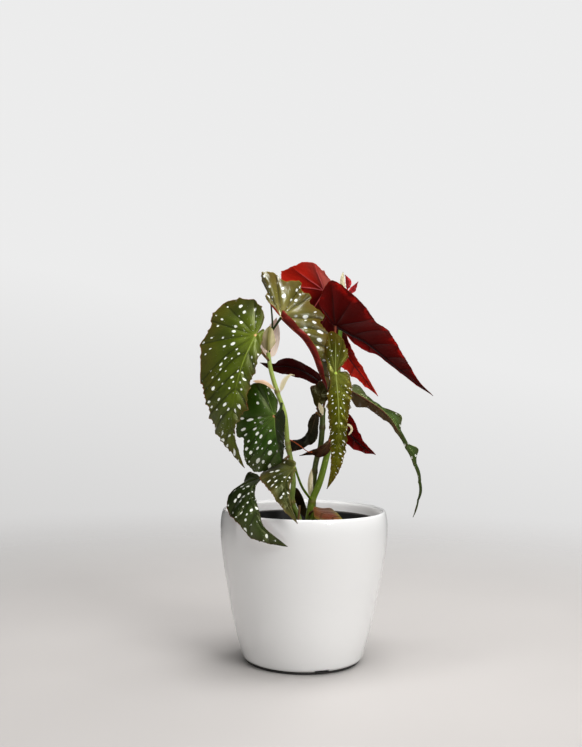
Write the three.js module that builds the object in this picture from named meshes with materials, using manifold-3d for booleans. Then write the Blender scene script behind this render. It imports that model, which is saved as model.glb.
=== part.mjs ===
// A spotted cane begonia in a glossy white round planter, in millimetres, +Z up.
// The origin is the centre of the planter's flat underside; the viewer's side is -Y.

import * as THREE from 'three';
import { mergeVertices } from 'three/addons/utils/BufferGeometryUtils.js';
import Module from 'manifold-3d';

const wasm = await Module();
wasm.setup();

// ---------------------------------------------------------------- driving dimensions

const GAP = 0.3;                  // clearance between neighbouring pieces
const TURN = 2 * Math.PI;
const SLIVER = 0.02;              // triangles of a cut that are thinner than this are merged away
const CRUMB = 5;                  // cubic millimetres; what a cut leaves loose is smaller than this

const POT_HEIGHT = 188.4;         // foot to rim crest
const POT_RADIUS = 105;           // widest, just under the rounded rim
const POT_SEGMENTS = 40;
const FOOT_HEIGHT = 3;
const FOOT_RADIUS = 72.5;
const SHELL_FLOOR = 8;            // top of the shell's floor
const LINER_TOP = 175.3;
const LINER_WALL = 2.2;
const LINER_FLOOR = 2.5;
const SOIL_TOP = 160;
const SOIL_CROWN = 3;             // the soil is heaped this much towards the canes
const ROOT_DEPTH = 40;            // how deep the canes stand in the soil

const DRAIN_SLOT = { width: 18, height: 3, depth: 14, angle: 18 };
const GRIP_HOLE = { radius: 1.3, depth: 3.5, reach: 98.6 };

const BLADE_THICKNESS = 0.8;
const BLADE_COLUMNS = [0, 0.5, 1];           // shares of the way from midrib to margin
const STEEPEST_LEAN = 0.4;
const VEIN_SLOPE = 0.9;           // how far a side vein runs forward for each mm it runs out
const TOOTH = 1.6;
const RUFFLE = 2;
const RUFFLE_WAVES = 4;
const CURL_SPAN = 50;             // the curl angles are given for a half this wide
const RIB_SAMPLES = 24;           // fine steps for each stretch between two midrib points
const STALK_RADIUS = [1.7, 1.3];
const STALK_SIDES = 5;
const STALK_STEPS = 6;
const CANE_SIDES = 8;
const CANE_STEP = 13;              // length of one step along a cane
const CANE_CLEARANCE = 0.35;      // cut round a cane into the soil and into each stalk
const RING_SWELL = 0.9;           // how far a leaf ring stands out from its cane
const RING_SPREAD = 4;

// ---------------------------------------------------------------- the planter's profiles

// Outer wall as [radius, height], from the foot up over the rounded rim.
const SHELL_OUTSIDE = [
  [71, FOOT_HEIGHT + GAP], [74, 4.6], [76.9, 11], [86.8, 47], [96.9, 98], [101, 123], [104, 146],
  [POT_RADIUS, 163], [104.6, 176], [102.6, 186], [100.3, POT_HEIGHT], [97.9, 186.4],
];
// Inner wall from the rim down to the floor.
const SHELL_INSIDE = [
  [96.7, 181], [96.2, 150], [91.8, 98], [81.5, 47], [71, 11], [68, SHELL_FLOOR],
];
const LINER_OUTSIDE = [
  [66, SHELL_FLOOR + GAP], [69.5, 12], [79.5, 47], [89.5, 98], [93.6, 150], [94.4, 170],
  [95.8, 172], [95.8, LINER_TOP],
];

// ---------------------------------------------------------------- the plant's canes

// points run from the soil up; radius is at the foot and at the tip; rings are heights of
// the swollen leaf scars.
const CANES = {
  cane_left: {
    points: [[-6, 0, SOIL_TOP - ROOT_DEPTH], [-6, 0, 155], [-6, 0, 175], [-15, 0, 197], [-14, 0, 222],
      [-17, -1, 247], [-22, -2, 271], [-26, -4, 307], [-36, -5, 336], [-44, -6, 362], [-48, -8, 385]],
    radius: [3.6, 2.7], rings: [197, 263, 271, 336],
  },
  cane_right: {
    points: [[5, 4, SOIL_TOP - ROOT_DEPTH], [5, 4, 155], [6, 4, 175], [10, 4, 198], [20, 4, 224],
      [30, 5, 264], [38, 6, 294], [42, 7, 332], [41, 11, 377], [45, 31, 423], [50, 36, 470]],
    radius: [4.9, 2.4], rings: [198, 264, 294, 332, 370],
  },
  cane_thin: {
    points: [[12, 15, SOIL_TOP - ROOT_DEPTH], [12, 15, 153], [12, 15, 172], [12, 15, 200],
      [13, 15, 234], [16, 14, 253], [20, 14, 266], [22, 13, 291], [22, 14, 316]],
    radius: [3.2, 2.5], rings: [234, 291, 313],
  },
  stub_stalk: {
    points: [[-7, -14, SOIL_TOP - 20], [-7, -14, 165], [-7, -14, 176], [-6, -14, 194]],
    radius: [1.7, 1.4], rings: [],
  },
};

// ---------------------------------------------------------------- the plant's leaves
//
// rib     the midrib: a point behind the stalk joint, the joint, and on to the tip
// wide    the outline of the broad half in the flat leaf: [out from the midrib, along it],
// narrow  and that of the narrow half; both run from the notch at the joint to the tip
// face    where the upper side looks, at the joint and at the tip
// side    +1 or -1: on which side of the midrib the broad half lies
// fold    how far each half is folded down along the midrib, in degrees
// curl    how much more each half bends down towards its margin, in degrees
// rows    rows of the mesh round the lobe of the broad half, round that of the narrow half, and
//         along the midrib
// stalk   from the middle of the cane to the joint
const LEAVES = {
  leaf_left: {
    cane: 'cane_left', colour: 0x5c6a2a, side: 1, fold: [4, 12], curl: [8, 20], rows: [13, 4, 17],
    face: [[-0.3, -0.9, 0.3], [-0.3, -0.95, 0.15]],
    rib: [[-55, -34, 422], [-63, -42, 405], [-78, -60, 368], [-87, -76, 324], [-89, -78, 291],
      [-73, -70, 245]],
    wide: [[-2, -18], [8, -38], [31, -49], [63, -44], [76, -20], [68, -4], [68, 21], [61, 44],
      [39, 90], [22, 121], [9, 152]],
    narrow: [[6, -11], [14, 17], [19, 45], [15, 68], [17, 94], [5, 126], [1, 151]],
    stalk: [[-46, -7, 374], [-56, -24, 386], [-63, -42, 405]],
  },
  leaf_top: {
    cane: 'cane_left', colour: 0x7d7440, side: -1, fold: [2, -140], curl: [10, -10], rows: [28, 3, 12],
    face: [[0.1, -0.93, 0.35], [0.3, -0.9, 0.25]],
    rib: [[-40, -10, 440], [-32, -16, 429], [-18, -22, 415], [-4, -25, 402], [8, -24, 383],
      [16, -19, 362], [27, -10, 338]],
    wide: [[1, -14], [-1, -25], [-1, -37], [5, -42], [9, -61], [14, -69], [27, -62], [33, -47],
      [53, -39], [47, -28], [45, -18], [50, -12], [43, 8], [46, 33], [33, 38], [32, 56], [18, 65],
      [19, 79], [12, 99]],
    narrow: [[9, -6], [11, 10], [11, 40], [12, 70], [6, 95]],
    stalk: [[-47, -8, 383], [-45, -5, 407], [-38, -10, 420], [-32, -16, 429]],
  },
  leaf_back: {
    cane: 'cane_right', colour: 0xb3202a, side: -1, fold: [4, 8], curl: [10, 10], rows: [13, 3, 17],
    face: [[0.1, 0.9, 0.4], [0.2, 0.95, 0.3]],
    rib: [[8, 40, 492], [23, 44, 468], [40, 58, 424], [54, 74, 389], [77, 90, 359], [101, 104, 330]],
    wide: [[-8, -4], [-13, -12], [-10, -33], [3, -46], [21, -49], [38, -49], [42, -27], [39, 16],
      [26, 63], [16, 107], [7, 143]],
    narrow: [[6, 4], [10, 27], [10, 66], [10, 96], [6, 131]],
    stalk: [[50, 36, 464], [37, 42, 464], [23, 44, 468]],
  },
  leaf_right: {
    cane: 'cane_right', colour: 0x6e1018, side: 1, fold: [3, 10], curl: [8, 10], rows: [12, 4, 17],
    face: [[0.1, 0.85, 0.5], [0.2, 0.92, 0.35]],
    rib: [[24, 12, 428], [37, 16, 421], [57, 26, 411], [80, 38, 400], [112, 56, 376],
      [137, 68, 358], [172, 74, 332]],
    wide: [[0, -8], [8, -24], [24, -39], [54, -42], [54, -16], [46, 14], [34, 41], [33, 56],
      [20, 102], [4, 146]],
    narrow: [[3, 18], [8, 33], [10, 56], [4, 79], [3, 103], [3, 136], [2, 154]],
    stalk: [[41, 10, 370], [37, 9, 396], [37, 16, 421]],
  },
  leaf_centre: {
    cane: 'cane_right', colour: 0x64702a, side: 1, fold: [20, 16], curl: [15, 16], rows: [16, 4, 15],
    face: [[0, -0.93, 0.35], [0.1, -1, 0]],
    rib: [[36, -33, 379], [36, -41, 360], [39, -54, 321], [39, -62, 279], [34, -66, 246],
      [26, -66, 221]],
    wide: [[-6, -7], [-13, -15], [-16, -25], [-8, -45], [6, -57], [13, -40], [12, -15], [8, 9],
      [14, 36], [10, 85], [4, 119]],
    narrow: [[10, -3], [18, -1], [19, 21], [12, 60], [11, 90], [8, 119]],
    stalk: [[42, 7, 332], [40, -18, 345], [36, -41, 360]],
  },
  leaf_low_left: {
    cane: 'cane_left', colour: 0x2c4a22, side: 1, fold: [5, 55], curl: [8, 20], rows: [12, 4, 11],
    face: [[-0.2, -0.9, 0.35], [-0.1, -0.98, 0.1]],
    rib: [[-44, -28, 321], [-39, -34, 306], [-37, -46, 287], [-33, -54, 268], [-28, -52, 251]],
    wide: [[-6, -7], [-10, -20], [-2, -42], [17, -50], [40, -32], [52, 4], [45, 40], [33, 62],
      [14, 65]],
    narrow: [[13, -9], [22, -7], [18, 12], [11, 45]],
    stalk: [[-30, -5, 322], [-32, -20, 313], [-39, -34, 306]],
  },
  leaf_rim_left: {
    cane: 'cane_left', colour: 0x33462a, side: 1, fold: [5, 20], curl: [10, 20], rows: [6, 3, 14],
    face: [[-0.4, -0.6, 0.7], [-0.1, -1, 0.1]],
    rib: [[-51, -28, 238], [-55, -34, 231], [-65, -62, 218], [-60, -96, 201], [-49, -108, 180],
      [-20, -112, 159]],
    wide: [[8, -5], [26, -6], [22, 10], [31, 30], [33, 52], [21, 89], [11, 112]],
    narrow: [[4, 10], [5, 42], [5, 75], [2, 99], [1, 120]],
    stalk: [[-19, -2, 256], [-36, -19, 243], [-55, -35, 230.4]],
  },
  leaf_rim_front: {
    cane: 'cane_right', colour: 0x5f5634, side: 1, fold: [5, 10], curl: [10, 10], rows: [6, 2, 11],
    face: [[-0.35, -0.65, 0.65], [0, -0.97, 0.2]],
    rib: [[-8, -52, 255], [-13, -58, 246], [-24, -88, 231], [-20, -112, 209], [-9, -116, 186]],
    wide: [[3, -8], [24, -8], [42, -4], [41, 15], [21, 41], [9, 70]],
    narrow: [[4, 6], [7, 33], [3, 66], [1, 83]],
    stalk: [[10, 4, 198], [-3, -24, 218], [-13, -58, 246]],
  },
  leaf_dark_high: {
    cane: 'cane_thin', colour: 0x3a1a1e, side: -1, fold: [5, 10], curl: [10, 10], rows: [4, 2, 12],
    face: [[0, 0.9, 0.45], [0, 0.9, 0.45]],
    rib: [[25, 46, 336], [19, 50, 349], [-7, 56, 365], [-26, 56, 369], [-43, 50, 369],
      [-60, 42, 373]],
    wide: [[8, 1], [9, 14], [12, 40], [12, 59], [4, 72]],
    narrow: [[4, 0], [7, 21], [10, 47], [6, 66]],
    stalk: [[22, 14, 312], [26, 36, 331], [19, 50, 349]],
  },
  leaf_small_dark: {
    cane: 'cane_thin', colour: 0x33301a, side: -1, fold: [5, 10], curl: [10, 10], rows: [5, 3, 6],
    face: [[-0.2, -0.85, 0.5], [-0.2, -0.9, 0.3]],
    rib: [[14, 14, 308], [15, 17, 316], [19, 24, 329], [25, 30, 341], [31, 34, 354]],
    wide: [[4, 4], [10, 14], [18, 23], [16, 29], [9, 37]],
    narrow: [[4, 4], [11, 20], [7, 36]],
    stalk: [[22, 14, 304], [18, 19, 309], [15, 17, 316]],
  },
  leaf_twisted: {
    cane: 'cane_thin', colour: 0x2e2a2a, side: 1, fold: [5, 20], curl: [10, 10], rows: [3, 3, 13],
    face: [[0.3, -0.7, 0.5], [-0.1, -0.7, 0.7]],
    rib: [[17, 6, 318], [14, 5, 310], [11, 2, 298], [6, 4, 283], [-2, 12, 272], [-26, 22, 262]],
    wide: [[4, 4], [7, 15], [4, 28], [8, 46], [11, 62]],
    narrow: [[5, 2], [8, 17], [11, 34], [7, 43], [8, 60]],
    stalk: [[22, 14, 303], [18, 9, 306], [14, 5, 310]],
  },
  leaf_crossing: {
    cane: 'cane_right', colour: 0x4a1a20, side: 1, fold: [5, 10], curl: [10, 10], rows: [2, 3, 9],
    face: [[0, -0.9, -0.3], [0, -0.9, -0.3]],
    rib: [[36, -6, 285], [31, -12, 275], [21, -14, 264], [9, -14, 261], [-7, -10, 256]],
    wide: [[3, 2], [5, 15], [3, 26]],
    narrow: [[7, 6], [10, 18], [4, 29]],
    stalk: [[37, 6, 292], [36, -5, 286], [31, -12, 275]],
  },
  leaf_red_low: {
    cane: 'cane_right', colour: 0x8a1620, side: 1, fold: [5, 10], curl: [10, 10], rows: [4, 3, 9],
    face: [[0.2, 0.8, 0.6], [0.2, 0.85, 0.5]],
    rib: [[39, 16, 316], [47, 20, 303], [60, 32, 281], [74, 38, 267], [93, 40, 255]],
    wide: [[8, -5], [13, -1], [13, 26], [6, 52]],
    narrow: [[7, 10], [15, 30], [11, 43], [7, 58]],
    stalk: [[37, 6, 290], [41, 12, 297], [47, 20, 303]],
  },
  leaf_drooping: {
    cane: 'cane_right', colour: 0x46502e, side: -1, fold: [0, 85], foldAtTip: [0, 30],
    curl: [10, 10], rows: [4, 3, 24],
    face: [[0.4, -0.4, 0.8], [0.6, -0.7, 0.35], [0.5, -0.85, 0]],
    rib: [[50, 4, 342], [59, 0, 338], [77, -10, 328], [100, -20, 311], [117, -26, 287],
      [136, -24, 252], [144, -16, 216], [137, -6, 180]],
    wide: [[16, -8], [25, -3], [11, 18], [3, 42], [10, 53], [20, 66], [4, 82], [3, 100], [13, 113],
      [3, 124], [2, 156]],
    narrow: [[10, 0], [14, 15], [10, 30], [12, 47], [5, 67], [4, 103]],
    stalk: [[42, 7, 324], [50, 3, 331], [59, 0, 338]],
  },
  leaf_pot_right: {
    cane: 'cane_right', colour: 0x5c3026, side: -1, fold: [5, 10], curl: [10, 10], rows: [4, 3, 8],
    face: [[0.1, -0.6, 0.8], [0.2, -0.6, 0.75]],
    rib: [[5, -6, 193], [12, -14, 189], [24, -34, 187], [37, -50, 184], [50, -58, 177]],
    wide: [[5, -6], [12, 1], [19, 10], [11, 38]],
    narrow: [[11, 18], [13, 38], [7, 51]],
    stalk: [[6, 4, 179], [8, -4, 184], [12, -14, 189]],
  },
  leaf_pot_back: {
    cane: 'cane_left', colour: 0x2e2018, side: -1, fold: [5, 10], curl: [10, 10], rows: [2, 2, 8],
    face: [[-0.1, -0.85, 0.5], [-0.1, -0.9, 0.4]],
    rib: [[-14, 8, 221], [-12, 14, 214], [-6, 26, 200], [-1, 32, 186], [3, 32, 172]],
    wide: [[3, 7], [4, 22], [4, 35], [4, 47]],
    narrow: [[5, 6], [7, 22], [6, 40]],
    stalk: [[-15, 0, 199], [-18, 6, 209], [-12, 14, 214]],
  },
};

// Papery stipules and the crinkled young shoot: small blades that start on their cane.
const SMALL_BLADES = {
  stipule_tip_front: {
    cane: 'cane_left', colour: 0x8c8a4e, side: 1, fold: [35, 35], curl: [40, 40], rows: [2, 2, 7],
    face: [[0, -1, 0], [0, -1, 0]],
    rib: [[-48, -11, 380], [-48, -13.5, 387], [-48, -16, 400], [-46, -13, 418]],
    wide: [[6, 3], [9, 14], [5, 28]], narrow: [[6, 3], [9, 14], [5, 28]],
    stalk: [[-48, -8, 383], [-48, -13.5, 387]],
  },
  stipule_tip_back: {
    cane: 'cane_left', colour: 0xd9bfa6, side: 1, fold: [-10, -10], curl: [-30, -30], rows: [2, 2, 8],
    face: [[0, -1, 0], [0, -1, 0]],
    rib: [[-48, 1, 372], [-48, 0, 379], [-46, 4, 398], [-38, 4, 430]],
    wide: [[9, 4], [12, 20], [9, 36]], narrow: [[8, 6], [11, 22], [6, 40]],
    stalk: [[-48, -8, 381], [-48, 0, 379]],
  },
  stipule_low_left: {
    cane: 'cane_left', colour: 0xc9a486, side: 1, fold: [10, 10], curl: [20, 20], rows: [2, 2, 6],
    face: [[0, -0.7, 0.7], [0, -0.7, 0.7]],
    rib: [[-32, -3, 334], [-40, -8, 340], [-52, -9, 346], [-66, -8, 349]],
    wide: [[3, 5], [6, 14], [4, 22]], narrow: [[3, 5], [4, 14], [3, 22]],
    stalk: [[-36, -5, 338], [-40, -8, 340]],
  },
  stipule_low_right: {
    cane: 'cane_left', colour: 0xb9a878, side: -1, fold: [15, 15], curl: [10, 10], rows: [2, 2, 7],
    face: [[0.3, -0.9, 0], [0.1, -0.9, 0.2]],
    rib: [[-33, -5, 330], [-31, -5, 337], [-26, -5, 350], [-20, -3, 357], [-14, -1, 357]],
    wide: [[3, 3], [5, 12], [3, 20]], narrow: [[3, 3], [4, 12], [3, 20]],
    stalk: [[-36, -5, 336], [-31, -5, 337]],
  },
  stipule_foot: {
    cane: 'cane_thin', colour: 0xc9bd94, side: 1, fold: [25, 25], curl: [40, 40], rows: [2, 2, 7],
    face: [[-0.4, -0.9, 0], [-0.4, -0.9, 0]],
    rib: [[9, 9, 198], [8, 9, 203], [7, 8, 220], [9, 10, 238]],
    wide: [[3.5, 4], [4, 16], [3, 26]], narrow: [[3.5, 4], [4, 16], [3, 26]],
    stalk: [[12, 15, 203], [8, 9, 203]],
  },
  stipule_curled: {
    cane: 'cane_right', colour: 0xc8c88a, side: 1, fold: [10, 10], curl: [30, 30], rows: [2, 2, 7],
    face: [[0, -1, 0], [0, -1, 0]],
    rib: [[38, 4, 294], [45, 1, 294], [55, 0, 295], [59, 0, 289], [55, 0, 282]],
    wide: [[2, 3], [2.5, 14], [1.5, 24]], narrow: [[2, 3], [2.5, 14], [1.5, 24]],
    stalk: [[38, 6, 293], [45, 1, 294]],
  },
  stipule_small: {
    cane: 'cane_thin', colour: 0xc9bd94, side: 1, fold: [10, 10], curl: [30, 30], rows: [2, 2, 5],
    face: [[0, -1, 0.2], [0, -1, 0.2]],
    rib: [[24, 9, 303], [22, 8, 308], [20, 8, 315], [17, 8, 322]],
    wide: [[2, 2], [3, 8], [1.5, 13]], narrow: [[2, 2], [3, 8], [1.5, 13]],
    stalk: [[22, 14, 308], [22, 8, 308]],
  },
  stipule_shoot: {
    cane: 'cane_right', colour: 0xe0d8b0, side: 1, fold: [20, 20], curl: [40, 40], rows: [2, 2, 6],
    face: [[-0.2, -1, 0], [-0.2, -1, 0]],
    rib: [[48, 30, 461], [48, 30, 467], [46, 30, 479], [47, 32, 492]],
    wide: [[3, 4], [3.5, 12], [2, 20]], narrow: [[3, 4], [3.5, 12], [2, 20]],
    stalk: [[50, 36, 466], [48, 30, 467]],
  },
  young_leaf_upright: {
    cane: 'cane_right', colour: 0xa01c28, side: 1, fold: [30, 30], curl: [30, 30], rows: [2, 2, 6],
    face: [[-0.3, -0.9, 0.2], [0.3, -0.9, 0.2]],
    rib: [[52, 38, 464], [53, 37, 470], [54, 35, 480], [50, 33, 488]],
    wide: [[3, 3], [5, 9], [3, 15]], narrow: [[3, 3], [4, 9], [2, 15]],
    stalk: [[50, 36, 466], [53, 37, 470]],
  },
  young_leaf_side: {
    cane: 'cane_right', colour: 0xc23040, side: 1, fold: [30, 30], curl: [30, 30], rows: [2, 2, 6],
    face: [[0, -0.9, 0.4], [0, -0.9, 0.4]],
    rib: [[50, 42, 460], [54, 43, 464], [60, 42, 471], [67, 40, 480]],
    wide: [[3, 3], [5, 9], [3, 15]], narrow: [[3, 3], [4, 9], [2, 15]],
    stalk: [[50, 36, 462], [54, 43, 464]],
  },
};

// ---------------------------------------------------------------- helpers

const vector = ([x, y, z]) => new THREE.Vector3(x, y, z);
const curve = (points) => new THREE.CatmullRomCurve3(points.map(vector), false, 'catmullrom', 0.5);
const radians = THREE.MathUtils.degToRad;
const mix = THREE.MathUtils.lerp;
const ease = (x) => THREE.MathUtils.smoothstep(x, 0, 1);

// Where x lies between the steps of a rising list, as an index with a fraction.
function locate(list, x) {
  if (x <= list[0]) return 0;
  let i = 0;
  while (i < list.length - 2 && list[i + 1] < x) i++;
  return Math.min(i + (x - list[i]) / (list[i + 1] - list[i] || 1), list.length - 1);
}

function solidOf(geometry) {
  const bare = geometry.clone();
  bare.deleteAttribute('normal');
  bare.deleteAttribute('uv');
  const merged = mergeVertices(bare, 1e-4);
  return new wasm.Manifold(new wasm.Mesh({
    numProp: 3,
    vertProperties: new Float32Array(merged.attributes.position.array),
    triVerts: new Uint32Array(merged.index.array),
  }));
}

function geometryOf(solid) {
  const mesh = solid.getMesh();
  const geometry = new THREE.BufferGeometry();
  geometry.setAttribute('position', new THREE.Float32BufferAttribute(mesh.vertProperties, 3));
  geometry.setIndex(Array.from(mesh.triVerts));
  geometry.computeVertexNormals();
  return geometry;
}

function geometryFrom(points, faces) {
  const geometry = new THREE.BufferGeometry();
  geometry.setAttribute('position', new THREE.Float32BufferAttribute(points.flatMap((p) => p.toArray()), 3));
  geometry.setIndex(faces.flat());
  return geometry;
}

// A closed profile of [radius, height] turned round the upright axis.
function turned(profile) {
  const points = profile.map(([radius, height]) => new THREE.Vector2(radius, height));
  return solidOf(new THREE.LatheGeometry(points, POT_SEGMENTS, 0, TURN).rotateX(Math.PI / 2));
}

// A round bar along a curve, with a radius that changes on the way and two flat ends;
// longer lengthens it beyond both ends of its curve.
function bar(path, radiusAt, sides, steps, longer = 0) {
  const frames = path.computeFrenetFrames(steps);
  const points = [];
  const faces = [];
  for (let i = 0; i <= steps; i++) {
    const beyond = i === steps ? longer : -longer;
    const centre = path.getPointAt(i / steps)
      .addScaledVector(frames.tangents[i], i % steps ? 0 : beyond);
    for (let k = 0; k < sides; k++) {
      const angle = (TURN * k) / sides;
      const spoke = frames.normals[i].clone().multiplyScalar(Math.cos(angle))
        .addScaledVector(frames.binormals[i], Math.sin(angle));
      points.push(centre.clone().addScaledVector(spoke, radiusAt(i / steps, centre)));
      if (i === steps) continue;
      const next = (k + 1) % sides;
      const [a, b] = [i * sides + k, i * sides + next];
      faces.push([a, b, b + sides], [a, b + sides, a + sides]);
    }
  }
  for (let k = 1; k < sides - 1; k++) {
    const last = steps * sides;
    faces.push([0, k + 1, k], [last, last + k, last + k + 1]);
  }
  return solidOf(geometryFrom(points, faces));
}

// ---------------------------------------------------------------- a leaf blade

class Blade {
  constructor(spec) {
    Object.assign(this, { foldAtTip: spec.fold, tooth: TOOTH, ruffle: RUFFLE }, spec);
    const path = curve(spec.rib);
    const count = RIB_SAMPLES * (spec.rib.length - 1);
    this.spine = Array.from({ length: count + 1 }, (_, i) => path.getPoint(i / count));
    this.along = [0];
    for (let i = 1; i <= count; i++) {
      this.along.push(this.along[i - 1] + this.spine[i].distanceTo(this.spine[i - 1]));
    }
    const joint = this.along[RIB_SAMPLES];
    this.along = this.along.map((v) => v - joint);
    this.length = this.along[count];
    this.halves = [spec.wide, spec.narrow].map((outline, half) => (
      { ...this.measure(outline), lobe: spec.rows[half] }));
  }

  // Follows one outline and notes how far along the midrib its side veins start.
  measure(outline) {
    const path = curve([[0, 0, 0], ...outline.map(([u, v]) => [u, v, 0]), [0, this.length, 0]]);
    const samples = 800;
    const start = [];
    for (let i = 0; i <= samples; i++) {
      const edge = path.getPoint(i / samples);
      const root = Math.max(0, edge.y - VEIN_SLOPE * Math.max(edge.x, 0));
      start.push(Math.max(root, i ? start[i - 1] : 0));
    }
    const first = Math.max(start.findIndex((v) => v > 0) - 1, 0);
    return { path, start, first, samples };
  }

  // A point of the midrib, carried straight on past both ends.
  spineAt(v) {
    const last = this.spine.length - 1;
    if (v < this.along[0]) {
      const back = this.spine[0].clone().sub(this.spine[1]).normalize();
      return this.spine[0].clone().addScaledVector(back, this.along[0] - v);
    }
    if (v > this.along[last]) {
      const ahead = this.spine[last].clone().sub(this.spine[last - 1]).normalize();
      return this.spine[last].clone().addScaledVector(ahead, v - this.along[last]);
    }
    const at = locate(this.along, v);
    const i = Math.min(Math.floor(at), last - 1);
    return this.spine[i].clone().lerp(this.spine[i + 1], at - i);
  }

  // Directions at a place on the midrib: along it, out of the upper side, and to the broad half.
  frameAt(v) {
    const along = this.spineAt(v + 3).sub(this.spineAt(v - 3)).normalize();
    const at = THREE.MathUtils.clamp(v / this.length, 0, 1) * (this.face.length - 1);
    const i = Math.min(Math.floor(at), this.face.length - 2);
    const up = vector(this.face[i]).lerp(vector(this.face[i + 1]), ease(at - i));
    up.addScaledVector(along, -up.dot(along)).normalize();
    const out = along.clone().cross(up).multiplyScalar(this.side);
    return { along, up, out };
  }

  // The place in space of a point of the flat leaf, u out from the midrib and v along it.
  place(u, v, half) {
    const { up, out } = this.frameAt(v);
    const fold = radians(mix(this.fold[half], this.foldAtTip[half], ease(v / this.length)));
    const curl = radians(this.curl[half]);
    const bend = fold + (curl * u) / CURL_SPAN;
    const reach = CURL_SPAN / curl;
    const across = reach * (Math.sin(bend) - Math.sin(fold));
    const down = reach * (Math.cos(fold) - Math.cos(bend));
    return this.spineAt(v).addScaledVector(out, half ? -across : across).addScaledVector(up, -down);
  }

  // Rows are counted round the basal lobe first and then along the midrib; odd rows end in a
  // tooth. share says how far out from the midrib the point is.
  point(row, share, half) {
    const length = this.rows[2];
    const { path, start, first, samples, lobe } = this.halves[half];
    const root = this.length * Math.max(0, (row - lobe) / length);
    const x = row < lobe
      ? (first / samples) * (row / lobe)
      : (first + locate(start.slice(first), root)) / samples;
    const edge = path.getPoint(Math.min(x, 1));
    const heading = path.getPoint(Math.min(x + 0.004, 1)).sub(path.getPoint(Math.max(x - 0.004, 0))).normalize();
    const fade = ease(row / 3) * ease((lobe + length - row) / 3);
    const tooth = this.tooth * fade * (1 - Math.abs((row % 2) - 1) - 0.5);
    edge.x += heading.y * tooth;
    edge.y -= heading.x * tooth;
    if (row >= lobe) edge.x = Math.max(edge.x, 0);
    const u = edge.x * share;
    const v = mix(root, edge.y, share);
    const wave = TURN * RUFFLE_WAVES * (row / (lobe + length)) + half * 1.3;
    const lift = this.ruffle * share * share * Math.sin(wave) * fade;
    return this.place(u, v, half).addScaledVector(this.frameAt(v).up, lift);
  }

  // The blade as a thin closed body: one sheet of triangles, and its copy a thickness below.
  solid() {
    const length = this.rows[2];
    const columns = BLADE_COLUMNS.length - 1;
    const middle = [];
    for (let k = 0; k <= length; k++) middle.push(this.point(this.rows[0] + k, 0, 0));
    const grid = this.halves.map(({ lobe }, half) => {
      const first = middle.length;
      for (let row = 1; row < lobe + length; row++) {
        for (let column = 1; column <= columns; column++) {
          middle.push(this.point(row, BLADE_COLUMNS[column], half));
        }
      }
      return (row, column) => {
        if (row === lobe + length) return length;
        if (column === 0) return Math.max(0, row - lobe);
        return first + (row - 1) * columns + column - 1;
      };
    });
    const sheet = [];
    grid.forEach((at, half) => {
      const turn = (half ? -1 : 1) * this.side > 0;
      for (let row = 1; row < this.halves[half].lobe + length; row++) {
        for (let column = 0; column < columns; column++) {
          const [a, b] = [at(row, column), at(row + 1, column)];
          const [c, d] = [at(row + 1, column + 1), at(row, column + 1)];
          for (const face of [[a, b, c], [a, c, d]]) {
            if (new Set(face).size < 3) continue;
            sheet.push(turn ? face.reverse() : face);
          }
        }
      }
    });
    return solidOf(this.thicken(middle, sheet));
  }

  thicken(middle, sheet) {
    const normals = middle.map(() => new THREE.Vector3());
    const flats = sheet.map(([a, b, c]) => (
      middle[b].clone().sub(middle[a]).cross(middle[c].clone().sub(middle[a])).normalize()));
    sheet.forEach((face, k) => face.forEach((i) => normals[i].add(flats[k])));
    // along a fold the shift grows, so that both sides of it keep their thickness
    normals.forEach((normal) => normal.normalize());
    const lean = middle.map(() => 1);
    sheet.forEach((face, k) => {
      for (const i of face) lean[i] = Math.min(lean[i], flats[k].dot(normals[i]));
    });
    const shifted = (distance) => middle.map((p, i) => (
      p.clone().addScaledVector(normals[i], distance / Math.max(lean[i], STEEPEST_LEAN))));
    const points = [...shifted(BLADE_THICKNESS / 2), ...shifted(-BLADE_THICKNESS / 2)];
    const below = middle.length;
    const faces = [...sheet, ...sheet.map(([a, b, c]) => [a + below, c + below, b + below])];
    const seen = new Set(sheet.flatMap(([a, b, c]) => [`${a} ${b}`, `${b} ${c}`, `${c} ${a}`]));
    for (const edge of seen) {
      const [a, b] = edge.split(' ').map(Number);
      if (seen.has(`${b} ${a}`)) continue;
      faces.push([b, a, a + below], [b, a + below, b + below]);
    }
    return geometryFrom(points, faces);
  }
}

// ---------------------------------------------------------------- building the pieces

const group = new THREE.Group();

function add(name, solid, colour, roughness) {
  const material = new THREE.MeshStandardMaterial({ color: colour, roughness, metalness: 0 });
  const mesh = new THREE.Mesh(geometryOf(solid), material);
  mesh.name = name;
  group.add(mesh);
}

function buildShell() {
  const body = turned([[0, FOOT_HEIGHT + GAP], ...SHELL_OUTSIDE, ...SHELL_INSIDE, [0, SHELL_FLOOR]]);
  const angle = radians(DRAIN_SLOT.angle);
  const slot = new THREE.BoxGeometry(DRAIN_SLOT.width, DRAIN_SLOT.depth, DRAIN_SLOT.height * 2)
    .rotateZ(angle)
    .translate(POT_RADIUS * 0.72 * Math.sin(angle), -POT_RADIUS * 0.72 * Math.cos(angle), FOOT_HEIGHT + GAP);
  const grips = [-1, 1].map((side) => solidOf(
    new THREE.CylinderGeometry(GRIP_HOLE.radius, GRIP_HOLE.radius, GRIP_HOLE.depth * 2, 10)
      .rotateX(Math.PI / 2)
      .translate(side * GRIP_HOLE.reach, 0, POT_HEIGHT),
  ));
  return body.subtract(solidOf(slot)).subtract(grips[0]).subtract(grips[1]);
}

function buildLiner() {
  const inside = LINER_OUTSIDE.slice(1, -2).reverse()
    .map(([radius, height]) => [radius - LINER_WALL, height + 0.2]);
  const floor = SHELL_FLOOR + GAP + LINER_FLOOR;
  return turned([[0, SHELL_FLOOR + GAP], ...LINER_OUTSIDE, [95.8 - LINER_WALL - 0.4, LINER_TOP],
    ...inside, [64, floor], [0, floor]]);
}

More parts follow.
